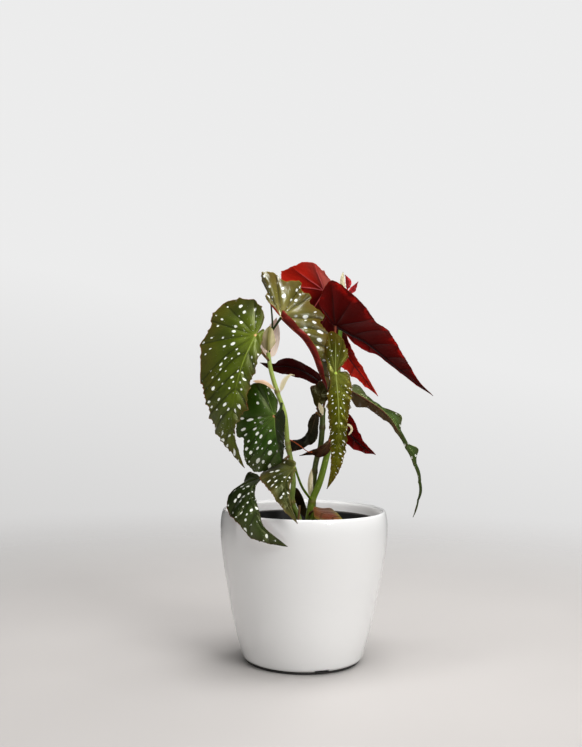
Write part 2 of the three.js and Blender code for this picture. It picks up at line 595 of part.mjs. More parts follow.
function caneRadius(cane, extra) {
  return (share, centre) => {
    const swell = cane.rings.reduce((sum, height) => (
      sum + RING_SWELL * Math.exp(-(((centre.z - height) / RING_SPREAD) ** 2))), 0);
    return mix(...cane.radius, share) + swell + extra;
  };
}

function buildCane(cane, extra = 0) {
  const path = curve(cane.points);
  const steps = Math.ceil(path.getLength() / CANE_STEP);
  return bar(path, caneRadius(cane, extra), CANE_SIDES, steps, extra);
}

function buildSoil() {
  const wall = LINER_OUTSIDE.slice(1, -4).map(([radius, height]) => (
    [radius - LINER_WALL - GAP, height + 0.2 + GAP]));
  const bottom = SHELL_FLOOR + 2 * GAP + LINER_FLOOR;
  let soil = turned([[0, bottom], [63, bottom], ...wall, [91, SOIL_TOP - 4], [88, SOIL_TOP - 1],
    [60, SOIL_TOP + 1], [30, SOIL_TOP + SOIL_CROWN], [0, SOIL_TOP + SOIL_CROWN]]);
  for (const cane of Object.values(CANES)) {
    soil = soil.subtract(buildCane(cane, CANE_CLEARANCE));
  }
  return soil;
}

// A blade with its stalk as one body; the stalk's end is saddled on its cane.
function buildLeaf(spec, stalkRadius, stalkSteps) {
  const blade = new Blade(spec);
  const stalk = bar(curve(spec.stalk), (share) => mix(...stalkRadius, share), STALK_SIDES, stalkSteps);
  const whole = blade.solid().add(stalk).subtract(buildCane(CANES[spec.cane], CANE_CLEARANCE));
  const bodies = new wasm.Manifold(whole.simplify(SLIVER).getMesh()).decompose();
  return bodies.find((body) => body.volume() > CRUMB);
}

add('planter_shell', buildShell(), 0xf4f3f1, 0.12);
add('planter_liner', buildLiner(), 0x8d8c8a, 0.5);
add('planter_foot', turned([[0, 0], [FOOT_RADIUS - 1.5, 0], [FOOT_RADIUS, 1], [FOOT_RADIUS, FOOT_HEIGHT],
  [0, FOOT_HEIGHT]]), 0x1c1c1c, 0.6);
add('soil', buildSoil(), 0x241a12, 0.95);
for (const [name, cane] of Object.entries(CANES)) add(name, buildCane(cane), 0x6f8a35, 0.4);
for (const [name, leaf] of Object.entries(LEAVES)) {
  add(name, buildLeaf(leaf, STALK_RADIUS, STALK_STEPS), leaf.colour, 0.35);
}
for (const [name, blade] of Object.entries(SMALL_BLADES)) {
  add(name, buildLeaf({ ...blade, tooth: 0.4, ruffle: 0.4 }, [1.2, 0.9], 3), blade.colour, 0.6);
}

export default group;
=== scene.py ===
# %% [markdown]
# # A spotted cane begonia in a glossy white planter
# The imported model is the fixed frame: it says where every leaf, cane and wall is. This script
# keeps those places and makes each piece again with the fine shape and the finish of the real
# plant: toothed and quilted blades with sunken veins and silver spots, red undersides, ringed
# canes, papery stipules, a glossy round planter and loose potting mix.

# %% Load the frame
import math
import random

import bmesh
import bpy
import numpy as np
from mathutils import Matrix, Vector


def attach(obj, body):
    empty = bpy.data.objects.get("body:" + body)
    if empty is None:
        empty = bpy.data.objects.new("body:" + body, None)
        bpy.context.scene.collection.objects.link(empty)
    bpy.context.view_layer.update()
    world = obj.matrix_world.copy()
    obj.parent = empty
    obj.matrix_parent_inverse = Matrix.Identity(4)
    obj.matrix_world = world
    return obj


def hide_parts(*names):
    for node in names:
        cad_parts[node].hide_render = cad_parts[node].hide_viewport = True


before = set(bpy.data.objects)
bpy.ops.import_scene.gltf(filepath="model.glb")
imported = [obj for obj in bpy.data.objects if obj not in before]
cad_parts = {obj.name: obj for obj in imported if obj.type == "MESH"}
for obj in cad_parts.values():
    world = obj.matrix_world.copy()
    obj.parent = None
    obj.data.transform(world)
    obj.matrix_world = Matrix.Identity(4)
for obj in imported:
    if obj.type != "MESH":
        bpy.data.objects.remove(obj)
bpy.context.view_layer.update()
print("frame nodes:", len(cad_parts))

# %% [markdown]
# ## The camera
# The photograph was taken from straight in front, a little above the planter's rim, with a
# slight roll. A perspective camera is a place, three directions and a focal length. The three
# directions are written out as the columns of a matrix, so no tilt has to be guessed from angles.

# %% Place the camera
MM = 0.001
CAMERA_PLACE = Vector((-18.8, -1245.7, 350.4)) * MM
PITCH, ROLL = 0.0069, 0.0128    # radians: tilted up, and leaning to the left
forward = Vector((0, math.cos(PITCH), math.sin(PITCH)))
level_up = Vector((0, -math.sin(PITCH), math.cos(PITCH)))
right = Vector((1, 0, 0)) * math.cos(ROLL) + level_up * math.sin(ROLL)
up = level_up * math.cos(ROLL) - Vector((1, 0, 0)) * math.sin(ROLL)

camera = bpy.data.objects.new("camera", bpy.data.cameras.new("camera"))
camera.data.lens, camera.data.sensor_width = 47.5, 36
camera.data.clip_start, camera.data.clip_end = 0.05, 60
directions = Matrix((right, up, -forward)).transposed().to_4x4()
camera.matrix_world = Matrix.Translation(CAMERA_PLACE) @ directions
bpy.context.scene.collection.objects.link(camera)
bpy.context.scene.camera = camera
print("camera at", [round(c, 3) for c in camera.location])

# %% [markdown]
# ## Shader maths as plain expressions
# A material is a graph of nodes, which is hard to read when it is wired by hand. Here a Wire
# stands for the output of a node, and adding or multiplying wires adds the Math nodes. A Graph
# is one tree of nodes; its `node` method makes any node: its settings first, then its sockets.
# A Paint is the graph of one material.

# %% Wires
class Wire:
    """The output of a node, with arithmetic that adds nodes to its graph."""

    def __init__(self, graph, socket):
        self.graph, self.socket = graph, socket

    def math(self, operation, *values, clamp=False):
        settings = {"operation": operation, "use_clamp": clamp}
        return self.graph.node("ShaderNodeMath", settings, dict(enumerate((self, *values))))

    def __add__(self, other): return self.math("ADD", other)
    def __mul__(self, other): return self.math("MULTIPLY", other)
    def __sub__(self, other): return self.math("SUBTRACT", other)
    def __truediv__(self, other): return self.math("DIVIDE", other)
    def __pow__(self, other): return self.math("POWER", other)
    def __radd__(self, other): return self.math("ADD", other)
    def __rmul__(self, other): return self.math("MULTIPLY", other)
    def __rsub__(self, other): return self.math("MULTIPLY_ADD", -1.0, other)
    def low(self, other): return self.math("MINIMUM", other)
    def high(self, other): return self.math("MAXIMUM", other)
    def clamped(self): return self.math("ADD", 0.0, clamp=True)

    def step(self, start, end):
        """0 below start and 1 above end, with a soft slope between; start may be the larger."""
        return self.graph.node(
            "ShaderNodeMapRange", {"interpolation_type": "SMOOTHSTEP"},
            {"Value": self, "From Min": start, "From Max": end, "To Min": 0.0, "To Max": 1.0})


print("wires ready")

# %% Graphs
class Graph:
    def __init__(self, tree):
        self.nodes, self.links = tree.nodes, tree.links

    def node(self, kind, settings=None, sockets=None, output=0):
        """Any node; output names one output, or several as a tuple."""
        made = self.nodes.new(kind)
        for name, value in (settings or {}).items():
            if name == "stops":
                ramp = made.color_ramp.elements
                while len(ramp) < len(value):
                    ramp.new(0.5)
                for stop, (place, colour) in zip(ramp, value):
                    stop.position, stop.color = place, (*colour, 1)
            else:
                setattr(made, name, value)
        for key, value in (sockets or {}).items():
            self.put(made.inputs[key], value)
        if isinstance(output, tuple):
            return tuple(Wire(self, made.outputs[name]) for name in output)
        return Wire(self, made.outputs[output])

    def put(self, socket, value):
        if isinstance(value, Wire):
            self.links.new(value.socket, socket)
        elif socket.type == "RGBA" and len(value) == 3:
            socket.default_value = (*value, 1)
        else:
            socket.default_value = value

    def mix(self, amount, first, second):
        """A colour that goes from first to second as amount goes from 0 to 1."""
        return self.node("ShaderNodeMix", {"data_type": "RGBA"},
                         {"Factor": amount, 6: first, 7: second}, output=2)

    def place(self, kind="Object"):
        return self.node("ShaderNodeTexCoord", output=kind)

    def noise(self, per_metre, detail):
        return self.node("ShaderNodeTexNoise", None,
                         {"Scale": per_metre, "Detail": detail, "Vector": self.place()})

    def cells(self, where, per_metre, randomness=1.0, output=0, **settings):
        """A Voronoi texture: by default the distance to the nearest random centre."""
        return self.node("ShaderNodeTexVoronoi", settings,
                         {"Vector": where, "Scale": per_metre, "Randomness": randomness}, output)

    def bump(self, height, distance, strength):
        return self.node("ShaderNodeBump", None,
                         {"Height": height, "Distance": distance, "Strength": strength})

    def vector(self, x, y):
        return self.node("ShaderNodeCombineXYZ", None, {0: x, 1: y})

    def split(self, three):
        return self.node("ShaderNodeSeparateXYZ", None, {0: three}, output=(0, 1, 2))

    def attribute(self, name):
        """The three numbers that the mesh stores at each point under this name."""
        return self.split(
            self.node("ShaderNodeAttribute", {"attribute_name": name}, output="Vector"))


print("graphs ready")

# %% Paints
class Paint(Graph):
    """One material. Channels of its shader are named with _ for each space."""

    def __init__(self, name, **constants):
        self.material = bpy.data.materials.new(name)
        self.material.use_nodes = True
        super().__init__(self.material.node_tree)
        self.shader = self.nodes["Principled BSDF"]
        self.set(**constants)

    def set(self, **channels):
        for name, value in channels.items():
            self.put(self.shader.inputs[name.replace("_", " ")], value)


print("paints ready")

# %% [markdown]
# ## Colours
# The colours are noted the way a paint chart shows them, 0 to 255. Shaders reckon in light, so
# each one is converted with the curve by which screens turn such numbers into light.

# %% Colour chart
def rgb(colour, share=1.0):
    """The light of a chart colour, or of a darker one if share is below 1."""
    shown = [part * share / 255 for part in colour]
    return tuple(((c + 0.055) / 1.055) ** 2.4 if c > 10 / 255 else c / 12.92 for c in shown)


print("mid grey is", [round(c, 3) for c in rgb((128, 128, 128))])

# %% [markdown]
# ## Curves, bars and meshes
# Leaves and canes are smooth curves through a few points. A Catmull-Rom curve passes through
# every one of its points, so a point read from the real plant stays where it was read. Bars are
# swept along such a curve with a frame that is carried on from step to step, so they don't twist.

# %% Curves and swept bars
STEPS_PER_POINT = 40            # steps in which the length of a curve is measured
ASIDE = (0.31, 0.87, 0.39)      # a direction in which no bar starts out


def catmull(points, x):
    """The curve through the points, at each x from 0 to 1."""
    points = np.asarray(points, float)
    last = len(points) - 1
    at = np.clip(np.asarray(x, float), 0, 1) * last
    i = np.minimum(at.astype(int), last - 1)
    w = (at - i)[..., None]
    longer = np.vstack([2 * points[0] - points[1], points, 2 * points[-1] - points[-2]])
    before, here, there, after = longer[i], longer[i + 1], longer[i + 2], longer[i + 3]
    leave, arrive = (there - before) / 2, (after - here) / 2
    return (here + leave * w + (3 * (there - here) - 2 * leave - arrive) * w ** 2
            + (2 * (here - there) + leave + arrive) * w ** 3)


def unit(v):
    return v / np.maximum(np.linalg.norm(v, axis=-1, keepdims=True), 1e-9)


def ease(x):
    x = np.clip(x, 0, 1)
    return x * x * (3 - 2 * x)


def even(points, count):
    """count points at even distances along the curve through the points."""
    fine = catmull(points, np.linspace(0, 1, STEPS_PER_POINT * len(points)))
    steps = np.linalg.norm(np.diff(fine, axis=0), axis=1)
    gone = np.concatenate([[0], np.cumsum(steps)])
    want = np.linspace(0, gone[-1], count)
    return np.stack([np.interp(want, gone, fine[:, k]) for k in range(3)], 1)


def circle(steps):
    """The x and y of even steps round the unit circle."""
    turn = np.linspace(0, 2 * math.pi, steps, endpoint=False)
    return np.stack([np.cos(turn), np.sin(turn)], 1)


def band(first, steps):
    """The faces between one ring of points and the next, which follows it in the list."""
    k = np.arange(steps)
    a, b = first + k, first + (k + 1) % steps
    return np.stack([a, b, b + steps, a + steps], 1).tolist()


def bar(path, radius, sides=12):
    """Points and faces of a closed round bar along path; radius is a number for each point."""
    tangents = unit(np.gradient(path, axis=0))
    normal = unit(np.cross(tangents[0], ASIDE))
    x, y = circle(sides).T[..., None]
    rings = []
    for centre, tangent, size in zip(path, tangents, radius):
        normal = unit(normal - tangent * np.dot(normal, tangent))
        rings.append(centre + size * (x * normal + y * np.cross(tangent, normal)))
    points = np.vstack(rings)
    faces = [face for i in range(len(path) - 1) for face in band(i * sides, sides)]
    faces.append(list(range(sides))[::-1])
    faces.append(list(range(len(points) - sides, len(points))))
    return points, faces


print("curve helpers ready")

# %% From points and faces to a piece of the scene
def make_object(name, points, faces):
    """A mesh object in the scene; points are in millimetres."""
    mesh = bpy.data.meshes.new(name)
    mesh.from_pydata((np.asarray(points) * MM).tolist(), [], faces)
    made = bpy.data.objects.new(name, mesh)
    bpy.context.scene.collection.objects.link(made)
    return made


def make_piece(name, points, faces, node, slot, paints, paint_of_face=None, stored=None):
    """An object that stands for one solid of the frame, and rides with it."""
    piece = make_object(name, points, faces)
    mesh = piece.data
    mesh.validate()
    for attribute, values in (stored or {}).items():
        layer = mesh.attributes.new(attribute, "FLOAT_VECTOR", "POINT")
        layer.data.foreach_set("vector", np.asarray(values, np.float32).ravel())
    for paint in paints:
        mesh.materials.append(paint.material)
    if paint_of_face is not None:
        mesh.polygons.foreach_set("material_index", paint_of_face)
    mesh.polygons.foreach_set("use_smooth", [True] * len(mesh.polygons))
    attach(piece, "root")
    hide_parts(node)
    return piece


def sharpen(piece, degrees):
    """Marks the creases that are steeper than this, so the shading doesn't smear over them."""
    edit = bmesh.new()
    edit.from_mesh(piece.data)
    bmesh.ops.recalc_face_normals(edit, faces=edit.faces)
    for edge in edit.edges:
        if len(edge.link_faces) == 2 and edge.calc_face_angle(0) > math.radians(degrees):
            edge.smooth = False
    edit.to_mesh(piece.data)
    edit.free()


print("mesh helpers ready")

# %% [markdown]
# ## How a begonia leaf is built
# A begonia leaf is lopsided: a broad half with a big round lobe behind the stalk, and a narrow
# half. Veins fan out from the joint into the lobe and leave the midrib further on, and the skin
# between them bulges like a quilt. A subdivided plane would need every vein placed by hand.
# Here the leaf is first laid flat: the mesh rows run along the veins, from the midrib to the
# toothed margin, so each vein is a row. Then each flat point is carried to its place beside the
# bent midrib, with the fold along the midrib, the curl of the margin and the quilting added.

# %% The flat leaf and its place in space
VEIN_SLOPE = 0.9      # how far a side vein runs forward for each mm it runs out
CURL_SPAN = 50        # the curl angles are given for a half this wide
LANE_ROWS = 20        # mesh rows from one side vein to the next
FINE_ROWS = 4         # mesh rows to each of the finest teeth
SPINE_STEPS = 24      # steps of the spine between two points of the rib
EDGE_STEPS = 801      # places along an outline where its veins are looked for
FADE_ROWS = 3         # rows over which the teeth grow at both ends of an outline
FULL_WIDTH = 14       # mm of breadth that full teeth and full quilting need
RUFFLE_WAVES = 4
PROBE = 0.2           # share of a lane across which its width is measured
SHARES = (np.arange(15) / 14) ** 1.2    # mesh columns, as shares of the way to the margin
FACTS = ("vein", "size", "spread")      # what the mesh stores for its paint


class Blade:
    """Rib: points of the midrib, the second of which is the joint with the stalk. Wide and
    narrow: the flat outlines of the halves, from the joint to the tip. Face: where the upper
    side looks, from the joint to the tip. Rows and lanes: of the two lobes and the midrib."""

    def __init__(self, rib, face, wide, rows, lanes, narrow=None, side=1, fold=(5, 10),
                 fold_at_tip=None, curl=(10, 10), tooth=4.6, fine_tooth=0.5, ruffle=2.0,
                 quilt=1.0, slope=VEIN_SLOPE, seed=0.0, **_):
        self.spine = catmull(rib, np.linspace(0, 1, SPINE_STEPS * (len(rib) - 1) + 1))
        steps = np.linalg.norm(np.diff(self.spine, axis=0), axis=1)
        self.along = np.concatenate([[0], np.cumsum(steps)]) - steps[:SPINE_STEPS].sum()
        self.length = self.along[-1]
        self.outlines = [np.array([(0, 0), *half, (0, self.length)], float)
                         for half in (wide, narrow or wide)]
        self.face, self.side = np.array(face if len(face) > 1 else face * 2, float), side
        self.fold, self.curl = np.radians(fold), np.radians(curl)
        self.fold_at_tip = np.radians(fold_at_tip or fold)
        self.rows, self.lanes, self.slope, self.seed = rows, lanes, slope, seed
        self.tooth, self.fine_tooth, self.ruffle, self.quilt = tooth, fine_tooth, ruffle, quilt

    def spine_at(self, v):
        v = np.asarray(v, float)
        on = np.stack([np.interp(v, self.along, self.spine[:, k]) for k in range(3)], -1)
        back = np.minimum(v - self.along[0], 0)[..., None] * unit(self.spine[1] - self.spine[0])
        ahead = np.maximum(v - self.length, 0)[..., None] * unit(self.spine[-1] - self.spine[-2])
        return on + back + ahead

    def frame_at(self, v):
        """Along the midrib, out of the upper side, and towards the broad half."""
        along = unit(self.spine_at(v + 3) - self.spine_at(v - 3))
        at = np.clip(v / self.length, 0, 1) * (len(self.face) - 1)
        i = np.minimum(at.astype(int), len(self.face) - 2)
        w = ease(at - i)[..., None]
        up = self.face[i] * (1 - w) + self.face[i + 1] * w
        up = unit(up - (up * along).sum(-1, keepdims=True) * along)
        return along, up, np.cross(along, up) * self.side

    def place(self, u, v, half, lift=0.0):
        _, up, out = self.frame_at(v)
        w = ease(v / self.length)
        fold = self.fold[half] * (1 - w) + self.fold_at_tip[half] * w
        bend = fold + self.curl[half] * u / CURL_SPAN
        reach = CURL_SPAN / self.curl[half]
        across = reach * (np.sin(bend) - np.sin(fold)) * (-1 if half else 1)
        down = reach * (np.cos(fold) - np.cos(bend))
        return self.spine_at(v) + out * across[..., None] + up * (lift - down)[..., None]

    def row_of(self, lane, half):
        """The outlines are read in rows; lane 0 is the vein that leaves the joint sideways."""
        lobe, length = self.rows[half], self.rows[2]
        return lobe + lane * np.where(lane < 0, lobe / self.lanes[half], length / self.lanes[2])

    def teeth(self, lane):
        """How far the margin stands out: a point at each vein, one between, and fine teeth."""
        nearest = np.round(lane)
        off = np.abs(lane - nearest)
        point = (1 - 2 * off) ** 1.7 * (1 + 0.4 * np.sin(nearest * 4.7 + self.seed))
        between = (1 - 4 * np.abs(off - 0.5)).clip(0) ** 1.5 * (0.5 + 0.4 * np.sin(nearest * 2.9))
        phase = np.round(lane * LANE_ROWS, 3) % FINE_ROWS
        fine = 0.5 - np.abs(phase - 1) / np.where(phase > 1, FINE_ROWS - 1, 1)
        return self.tooth * (point + between - 0.5) + self.fine_tooth * fine

    def flat(self, lane, share, half):
        """Out from and along the midrib, where the vein starts, and how full the teeth are."""
        outline, lobe, length = self.outlines[half], self.rows[half], self.rows[2]
        row = self.row_of(lane, half)
        x = np.linspace(0, 1, EDGE_STEPS)
        edge = catmull(outline, x)
        root = edge[:, 1] - self.slope * np.maximum(edge[:, 0], 0)
        root = np.maximum.accumulate(np.maximum(root, 0))
        first = max(int(np.argmax(root > 1e-6)) - 1, 0)
        start = self.length * np.clip((row - lobe) / length, 0, 1)
        rising = root[first:] + np.arange(EDGE_STEPS - first) * 1e-7
        at = np.where(row < lobe, x[first] * row / lobe, np.interp(start, rising, x[first:]))
        edge = catmull(outline, at)
        heading = unit(catmull(outline, at + 0.004) - catmull(outline, at - 0.004))
        fade = ease(row / FADE_ROWS) * ease((lobe + length - row) / FADE_ROWS)
        fade = fade * np.clip(np.abs(edge[..., 0]) / FULL_WIDTH, 0.2, 1)
        outward = np.stack([heading[..., 1], -heading[..., 0]], -1)
        edge = edge + outward * (self.teeth(lane) * fade)[..., None]
        out = np.where(row >= lobe, np.maximum(edge[..., 0], 0), edge[..., 0])
        bow = 1 + 0.25 * ease(lane)
        return out * share, start + (edge[..., 1] - start) * share ** bow, start, fade

    def point(self, lane, share, half):
        """The place of a point of the blade's middle, and what its paint needs to know."""
        u, v, start, fade = self.flat(lane, share, half)
        before, after = (self.flat(lane + step, share, half) for step in (-PROBE, PROBE))
        edge = self.flat(lane, np.ones_like(share), half)
        vein = unit(np.stack([edge[0], edge[1] - start], -1))
        apart = (after[0] - before[0]) * vein[..., 1] - (after[1] - before[1]) * vein[..., 0]
        width = np.abs(apart) / (2 * PROBE)
        row = self.row_of(lane, half)
        turns = 2 * math.pi * RUFFLE_WAVES * row / (self.rows[half] + self.rows[2])
        wave = np.sin(turns + half * 1.3)
        lift = self.ruffle * share ** 2 * wave * fade
        puff = np.abs(np.sin(math.pi * lane)) ** 0.85 * np.clip(width / FULL_WIDTH, 0, 1.4)
        puff = self.quilt * (puff * ease(share / 0.3) - 0.35)
        lift = lift + puff * (1 - 0.5 * ease((share - 0.8) / 0.2)) * ease(share / 0.15)
        run = u * vein[..., 0] + v * vein[..., 1]
        to_vein = np.abs(lane - np.round(lane)) * width
        facts = ((lane, run, share), (width, np.abs(u), to_vein),
                 (np.hypot(u, v), v / self.length, half))
        return self.place(u, v, half, lift), dict(zip(FACTS, facts))


print("flat leaf ready")

# %% [markdown]
# ## Two skins and a margin
# A sheet without thickness would look like paper from the side. The blade gets an upper skin and
# a lower skin 0.6 mm apart, joined by a narrow strip round the margin. On the lower skin the veins
# stand out as ridges, as on the real leaf, and a tapering midrib and the stalk are bars of the
# same piece. Each skin has its own paint, because a begonia's underside is wine red.

# %% The points of a blade
THICKNESS, RIDGE = 0.6, 0.5     # of the blade, and of the veins on its lower skin
RIDGE_WIDTH, RIDGE_START = 0.7, 12      # mm: beside a vein, and from the joint


def middle_of(blade):
    """Points, facts and faces of the sheet between the skins, and the points of its margin."""
    columns = len(SHARES) - 1
    points, facts = [], {name: [] for name in FACTS}

    def add(lane, share, half):
        place, fact = blade.point(lane, share, half)
        points.append(place.reshape(-1, 3))
        for name, three in fact.items():
            whole = [np.broadcast_to(np.asarray(one, float), lane.shape).ravel() for one in three]
            facts[name].append(np.stack(whole, 1))

    midrib_rows = blade.lanes[2] * LANE_ROWS
    add(np.arange(midrib_rows + 1) / LANE_ROWS, np.zeros(midrib_rows + 1), 0)
    faces, margins, first = [], [], midrib_rows + 1
    for half in (0, 1):
        lobe = blade.lanes[half] * LANE_ROWS
        last = lobe + midrib_rows
        lanes = np.arange(1, last) / LANE_ROWS - blade.lanes[half]
        add(*np.meshgrid(lanes, SHARES[1:], indexing="ij"), half)
        at = np.empty((last + 1, columns + 1), int)
        at[:, 0] = np.clip(np.arange(last + 1) - lobe, 0, midrib_rows)
        at[1:last, 1:] = first + np.arange((last - 1) * columns).reshape(last - 1, columns)
        at[0], at[last] = 0, midrib_rows
        first += (last - 1) * columns
        corners = at[:-1, :-1], at[1:, :-1], at[1:, 1:], at[:-1, 1:]
        quads = np.stack([corner.ravel() for corner in corners], 1)
        faces += [q if half == 0 else q[::-1] for q in quads.tolist()]
        margins.append(at[:, -1])
    faces = [[q[i] for i in range(4) if q[i] != q[i - 1]] for q in faces]
    faces = [q for q in faces if len(set(q)) > 2]
    facts = {name: np.vstack(values) for name, values in facts.items()}
    return np.vstack(points), facts, faces, np.concatenate([margins[0], margins[1][-2:0:-1]])


def blade_mesh(blade):
    """The two skins and the strip that joins them along the margin."""
    points, facts, faces, margin = middle_of(blade)
    fan = np.array([(q[0], q[1], q[2]) for q in faces] + [(q[0], q[-2], q[-1]) for q in faces])
    one, two, three = points[fan].swapaxes(0, 1)
    flat, normals = np.cross(two - one, three - one), np.zeros_like(points)
    for k in range(3):
        np.add.at(normals, fan[:, k], flat)
    normals = unit(normals)
    _, up, _ = blade.frame_at(np.array([blade.length * 0.4]))
    if (normals[:blade.lanes[2] * LANE_ROWS] @ up[0]).mean() < 0:
        normals = -normals
    to_vein, share, to_joint = facts["size"][:, 2], facts["vein"][:, 2], facts["spread"][:, 0]
    stand_out = RIDGE * np.exp(-(to_vein / RIDGE_WIDTH) ** 2) * (1 - 0.6 * share)
    stand_out *= np.clip(to_joint / RIDGE_START, 0, 1)
    upper = points + normals * (THICKNESS / 2)
    lower = points - normals * (THICKNESS / 2 + stand_out)[:, None]

    count, skin = len(points), len(faces)
    strip = [[a, b, b + count, a + count]
             for a, b in zip(margin.tolist(), np.roll(margin, -1).tolist())]
    faces = faces + [[i + count for i in q[::-1]] for q in faces] + strip
    both = {name: np.vstack([values, values]) for name, values in facts.items()}
    return np.vstack([upper, lower]), faces, [0] * skin + [1] * skin + [0] * len(strip), both


print("blade mesh ready")

# %% Bars, and a whole leaf
STALK_STEPS = 20


def join(parts):
    """Puts several (points, faces, paint, facts) lists together as one mesh."""
    points, faces, paint, facts = zip(*parts)
    first = np.cumsum([0, *map(len, points)]).tolist()
    faces = [[i + start for i in face] for start, some in zip(first, faces) for face in some]
    return (np.vstack(points), faces, sum(paint, []),
            {name: np.vstack([fact[name] for fact in facts]) for name in FACTS})


def plain_bar(path, radius, paint, sides=12):
    """A bar for join; its facts say that it lies far from the veins and the joint."""
    points, faces = bar(path, radius, sides)
    run = np.repeat(np.linspace(0, 1, len(path)), sides)
    fact = np.stack([run * 0 + 0.5, run * 40, run], 1)
    facts = dict(zip(FACTS, (fact, fact * 0 + 5, fact * 0 + 30)))
    return points, faces, [paint] * len(faces), facts


def build_leaf(name, spec, slot, paints, midrib):
    """Paints: of the upper side, the underside, the stalk and the midrib."""
    blade = Blade(**spec)
    v = np.linspace(1, blade.length * 0.96, 40)
    size = (midrib - 0.3) * (1 - np.linspace(0, 1, 40)) ** 0.7 + 0.3
    _, up, _ = blade.frame_at(v)
    under = blade.spine_at(v) - up * (0.25 + size * 0.95)[:, None]
    joint = blade.spine_at(np.array([0.0]))[0] - up[0] * 0.9
    swell = 0.5 * np.exp(-((np.arange(STALK_STEPS) - STALK_STEPS + 1) / 2) ** 2)
    radius = (np.linspace(1.7, 1.35, STALK_STEPS) + swell) * spec.get("stalk_size", 1.0)
    parts = [blade_mesh(blade), plain_bar(under, size, 3),
             plain_bar(even([*spec["stalk"], joint], STALK_STEPS), radius, 2)]
    if "shoot" in spec:
        radius = np.linspace(*spec.get("shoot_size", (1.6, 1.0)), STALK_STEPS)
        parts.append(plain_bar(even(spec["shoot"], STALK_STEPS), radius, 2))
    points, faces, paint, facts = join(parts)
    piece = make_piece(name + "_leaf", points, faces, name, slot, paints, paint, facts)
    sharpen(piece, 55)


print("leaf builder ready")

# %% [markdown]
# ## Leaf paint
# The spots of this begonia lie in rows between the side veins: long ovals in the open lanes,
# small dots near the joint and the margin. Dots scattered at random would miss that order, so the
# pattern is laid out in the leaf's own coordinates, lane by vein run, which the mesh stored. A
# Voronoi texture gives one random centre per cell, and the distance to it, measured in
# millimetres, makes the oval. Veins, margin and joint are drawn from the stored distances too.

# %% Spots between the veins
SILVER = (236, 238, 230)
SPOT_ROWS = 1.6       # rows of spots to a lane
SPECK_GAP = 5.5       # mm along the vein from one small speck to the next


def spot_mask(paint, lane, run, share, width, hub, size, keep, shift, cell, scatter):
    """1 on the silver spots and 0 between them."""
    across, along = lane * SPOT_ROWS + shift, run / cell
    colour, centre = paint.cells(paint.vector(across, along), 1.0, scatter, ("Color", "Position"),
                                 voronoi_dimensions="2D")
    cx, cy, _ = paint.split(centre)
    one, two, three = paint.split(colour)
    half = (0.6 + 1.5 * one * one + 0.4 * two).low(width * 0.16) * size
    length = half * (1.3 + 0.5 * two)
    sideways = (across - cx) * width / SPOT_ROWS / half
    far = sideways ** 2.0 + ((along - cy) * cell / length) ** 2.0
    edge = (far ** 0.5) + (paint.noise(420, 2) - 0.5) * 0.5
    shown = (three / (width / 8).low(1.0)).step(keep + 0.02, keep - 0.02)
    shown = shown * hub.step(15, 23) * share.step(0.97, 0.93)
    speck, heart = paint.cells(paint.vector(lane * 4 + shift, run / SPECK_GAP), 1.0, 0.9,
                               ("Distance", "Color"), voronoi_dimensions="2D")
    rare, _, _ = paint.split(heart)
    specks = (speck * width).step(0.9, 0.5) * rare.step(0.22, 0.2) * hub.step(6, 10)
    return (edge.step(1.15, 0.92) * shown).high(specks * 0.8)


def fine_net(paint, per_metre, width):
    """The net of the smallest veins: 0 on a vein, 1 further off."""
    return paint.cells(paint.place(), per_metre, feature="DISTANCE_TO_EDGE").step(0.0, width)


def stored_facts(paint):
    return [wire for name in FACTS for wire in paint.attribute(name)]


print("spots ready")

# %% The upper side
def upper_side(name, dark, light, vein, hub_colour, margin, brown=(58, 44, 12), spots=1.0,
               spot_size=1.0, gloss=0.25, keep=0.8, shift=0.0, cell=12.5, scatter=0.55, veins=1.0,
               narrow=(0.0, 0.0), narrow_colour=None, narrow_end=2.0, sheen=0.5, hub_glow=0.3,
               shine=0.5, **_):
    paint = Paint(name + " upper side", Specular_IOR_Level=shine, Specular_Tint=(0.95, 1, sheen, 1))
    lane, run, share, width, out, to_vein, hub, far, half = stored_facts(paint)
    cloud = paint.noise(22, 3)
    light_patches = (cloud * 1.5 + paint.noise(240, 4) * 0.4 - 0.5 - share * 0.2).clamped()
    body = paint.mix(light_patches, rgb(dark), rgb(light))
    # Browner towards the margin and the tip, in cloudy patches.
    margin_and_tip = (share.step(0.45, 1.05) * 0.7 + far.step(0.6, 1.0) * 0.5).clamped()
    body = paint.mix(margin_and_tip * cloud.step(0.25, 0.6), body, rgb(brown))
    body = paint.mix(hub.step(36, 2) * hub_glow, body, rgb(vein))
    # Painted shade: the blade is darkened along the sunken veins, towards a darker copy of its dark
    # colour.
    vein_valley_shade = to_vein.step(2.2, 0.2) * hub.step(2, 12)
    body = paint.mix(vein_valley_shade * 0.6 * veins, body, rgb(dark, 0.4))
    line = to_vein.step(0.5, 0.1) * hub.step(40, 6) * 0.55 * veins
    rib = out.step(0.7, 0.25) * far.step(0.6, 0.1) * share.step(0.9, 0.5)
    body = paint.mix(line.high(rib * 0.85), body, rgb(vein))
    spotted = spot_mask(paint, lane, run, share, width, hub, spot_size, keep, shift, cell, scatter)
    body = paint.mix(spotted * spots * out.step(1.2, 2.6), body, rgb(SILVER))
    body = paint.mix(share.step(0.975, 1.0) * 0.8, body, rgb(margin))
    # The narrow half is darkened: with no colour given, to a darker copy of the dark colour, which
    # is painted shade on a curled half (leaf_low_left); leaf_drooping gives the colour of its
    # red-brown underside instead.
    narrow_half = half * far.step(narrow_end + 0.1, narrow_end) * narrow[0]
    body = paint.mix(narrow_half, body, rgb(narrow_colour) if narrow_colour else rgb(dark, 0.3))
    body = paint.mix(hub.step(2.3, 1.0), body, rgb(hub_colour))
    crinkle = paint.noise(330, 3) * 0.5 + fine_net(paint, 420.0, 0.25) * 0.5
    paint.set(Base_Color=body, Roughness=gloss + 0.14 * cloud,
              Normal=paint.bump(crinkle, 0.0006, 0.3))
    return paint


print("upper side ready")

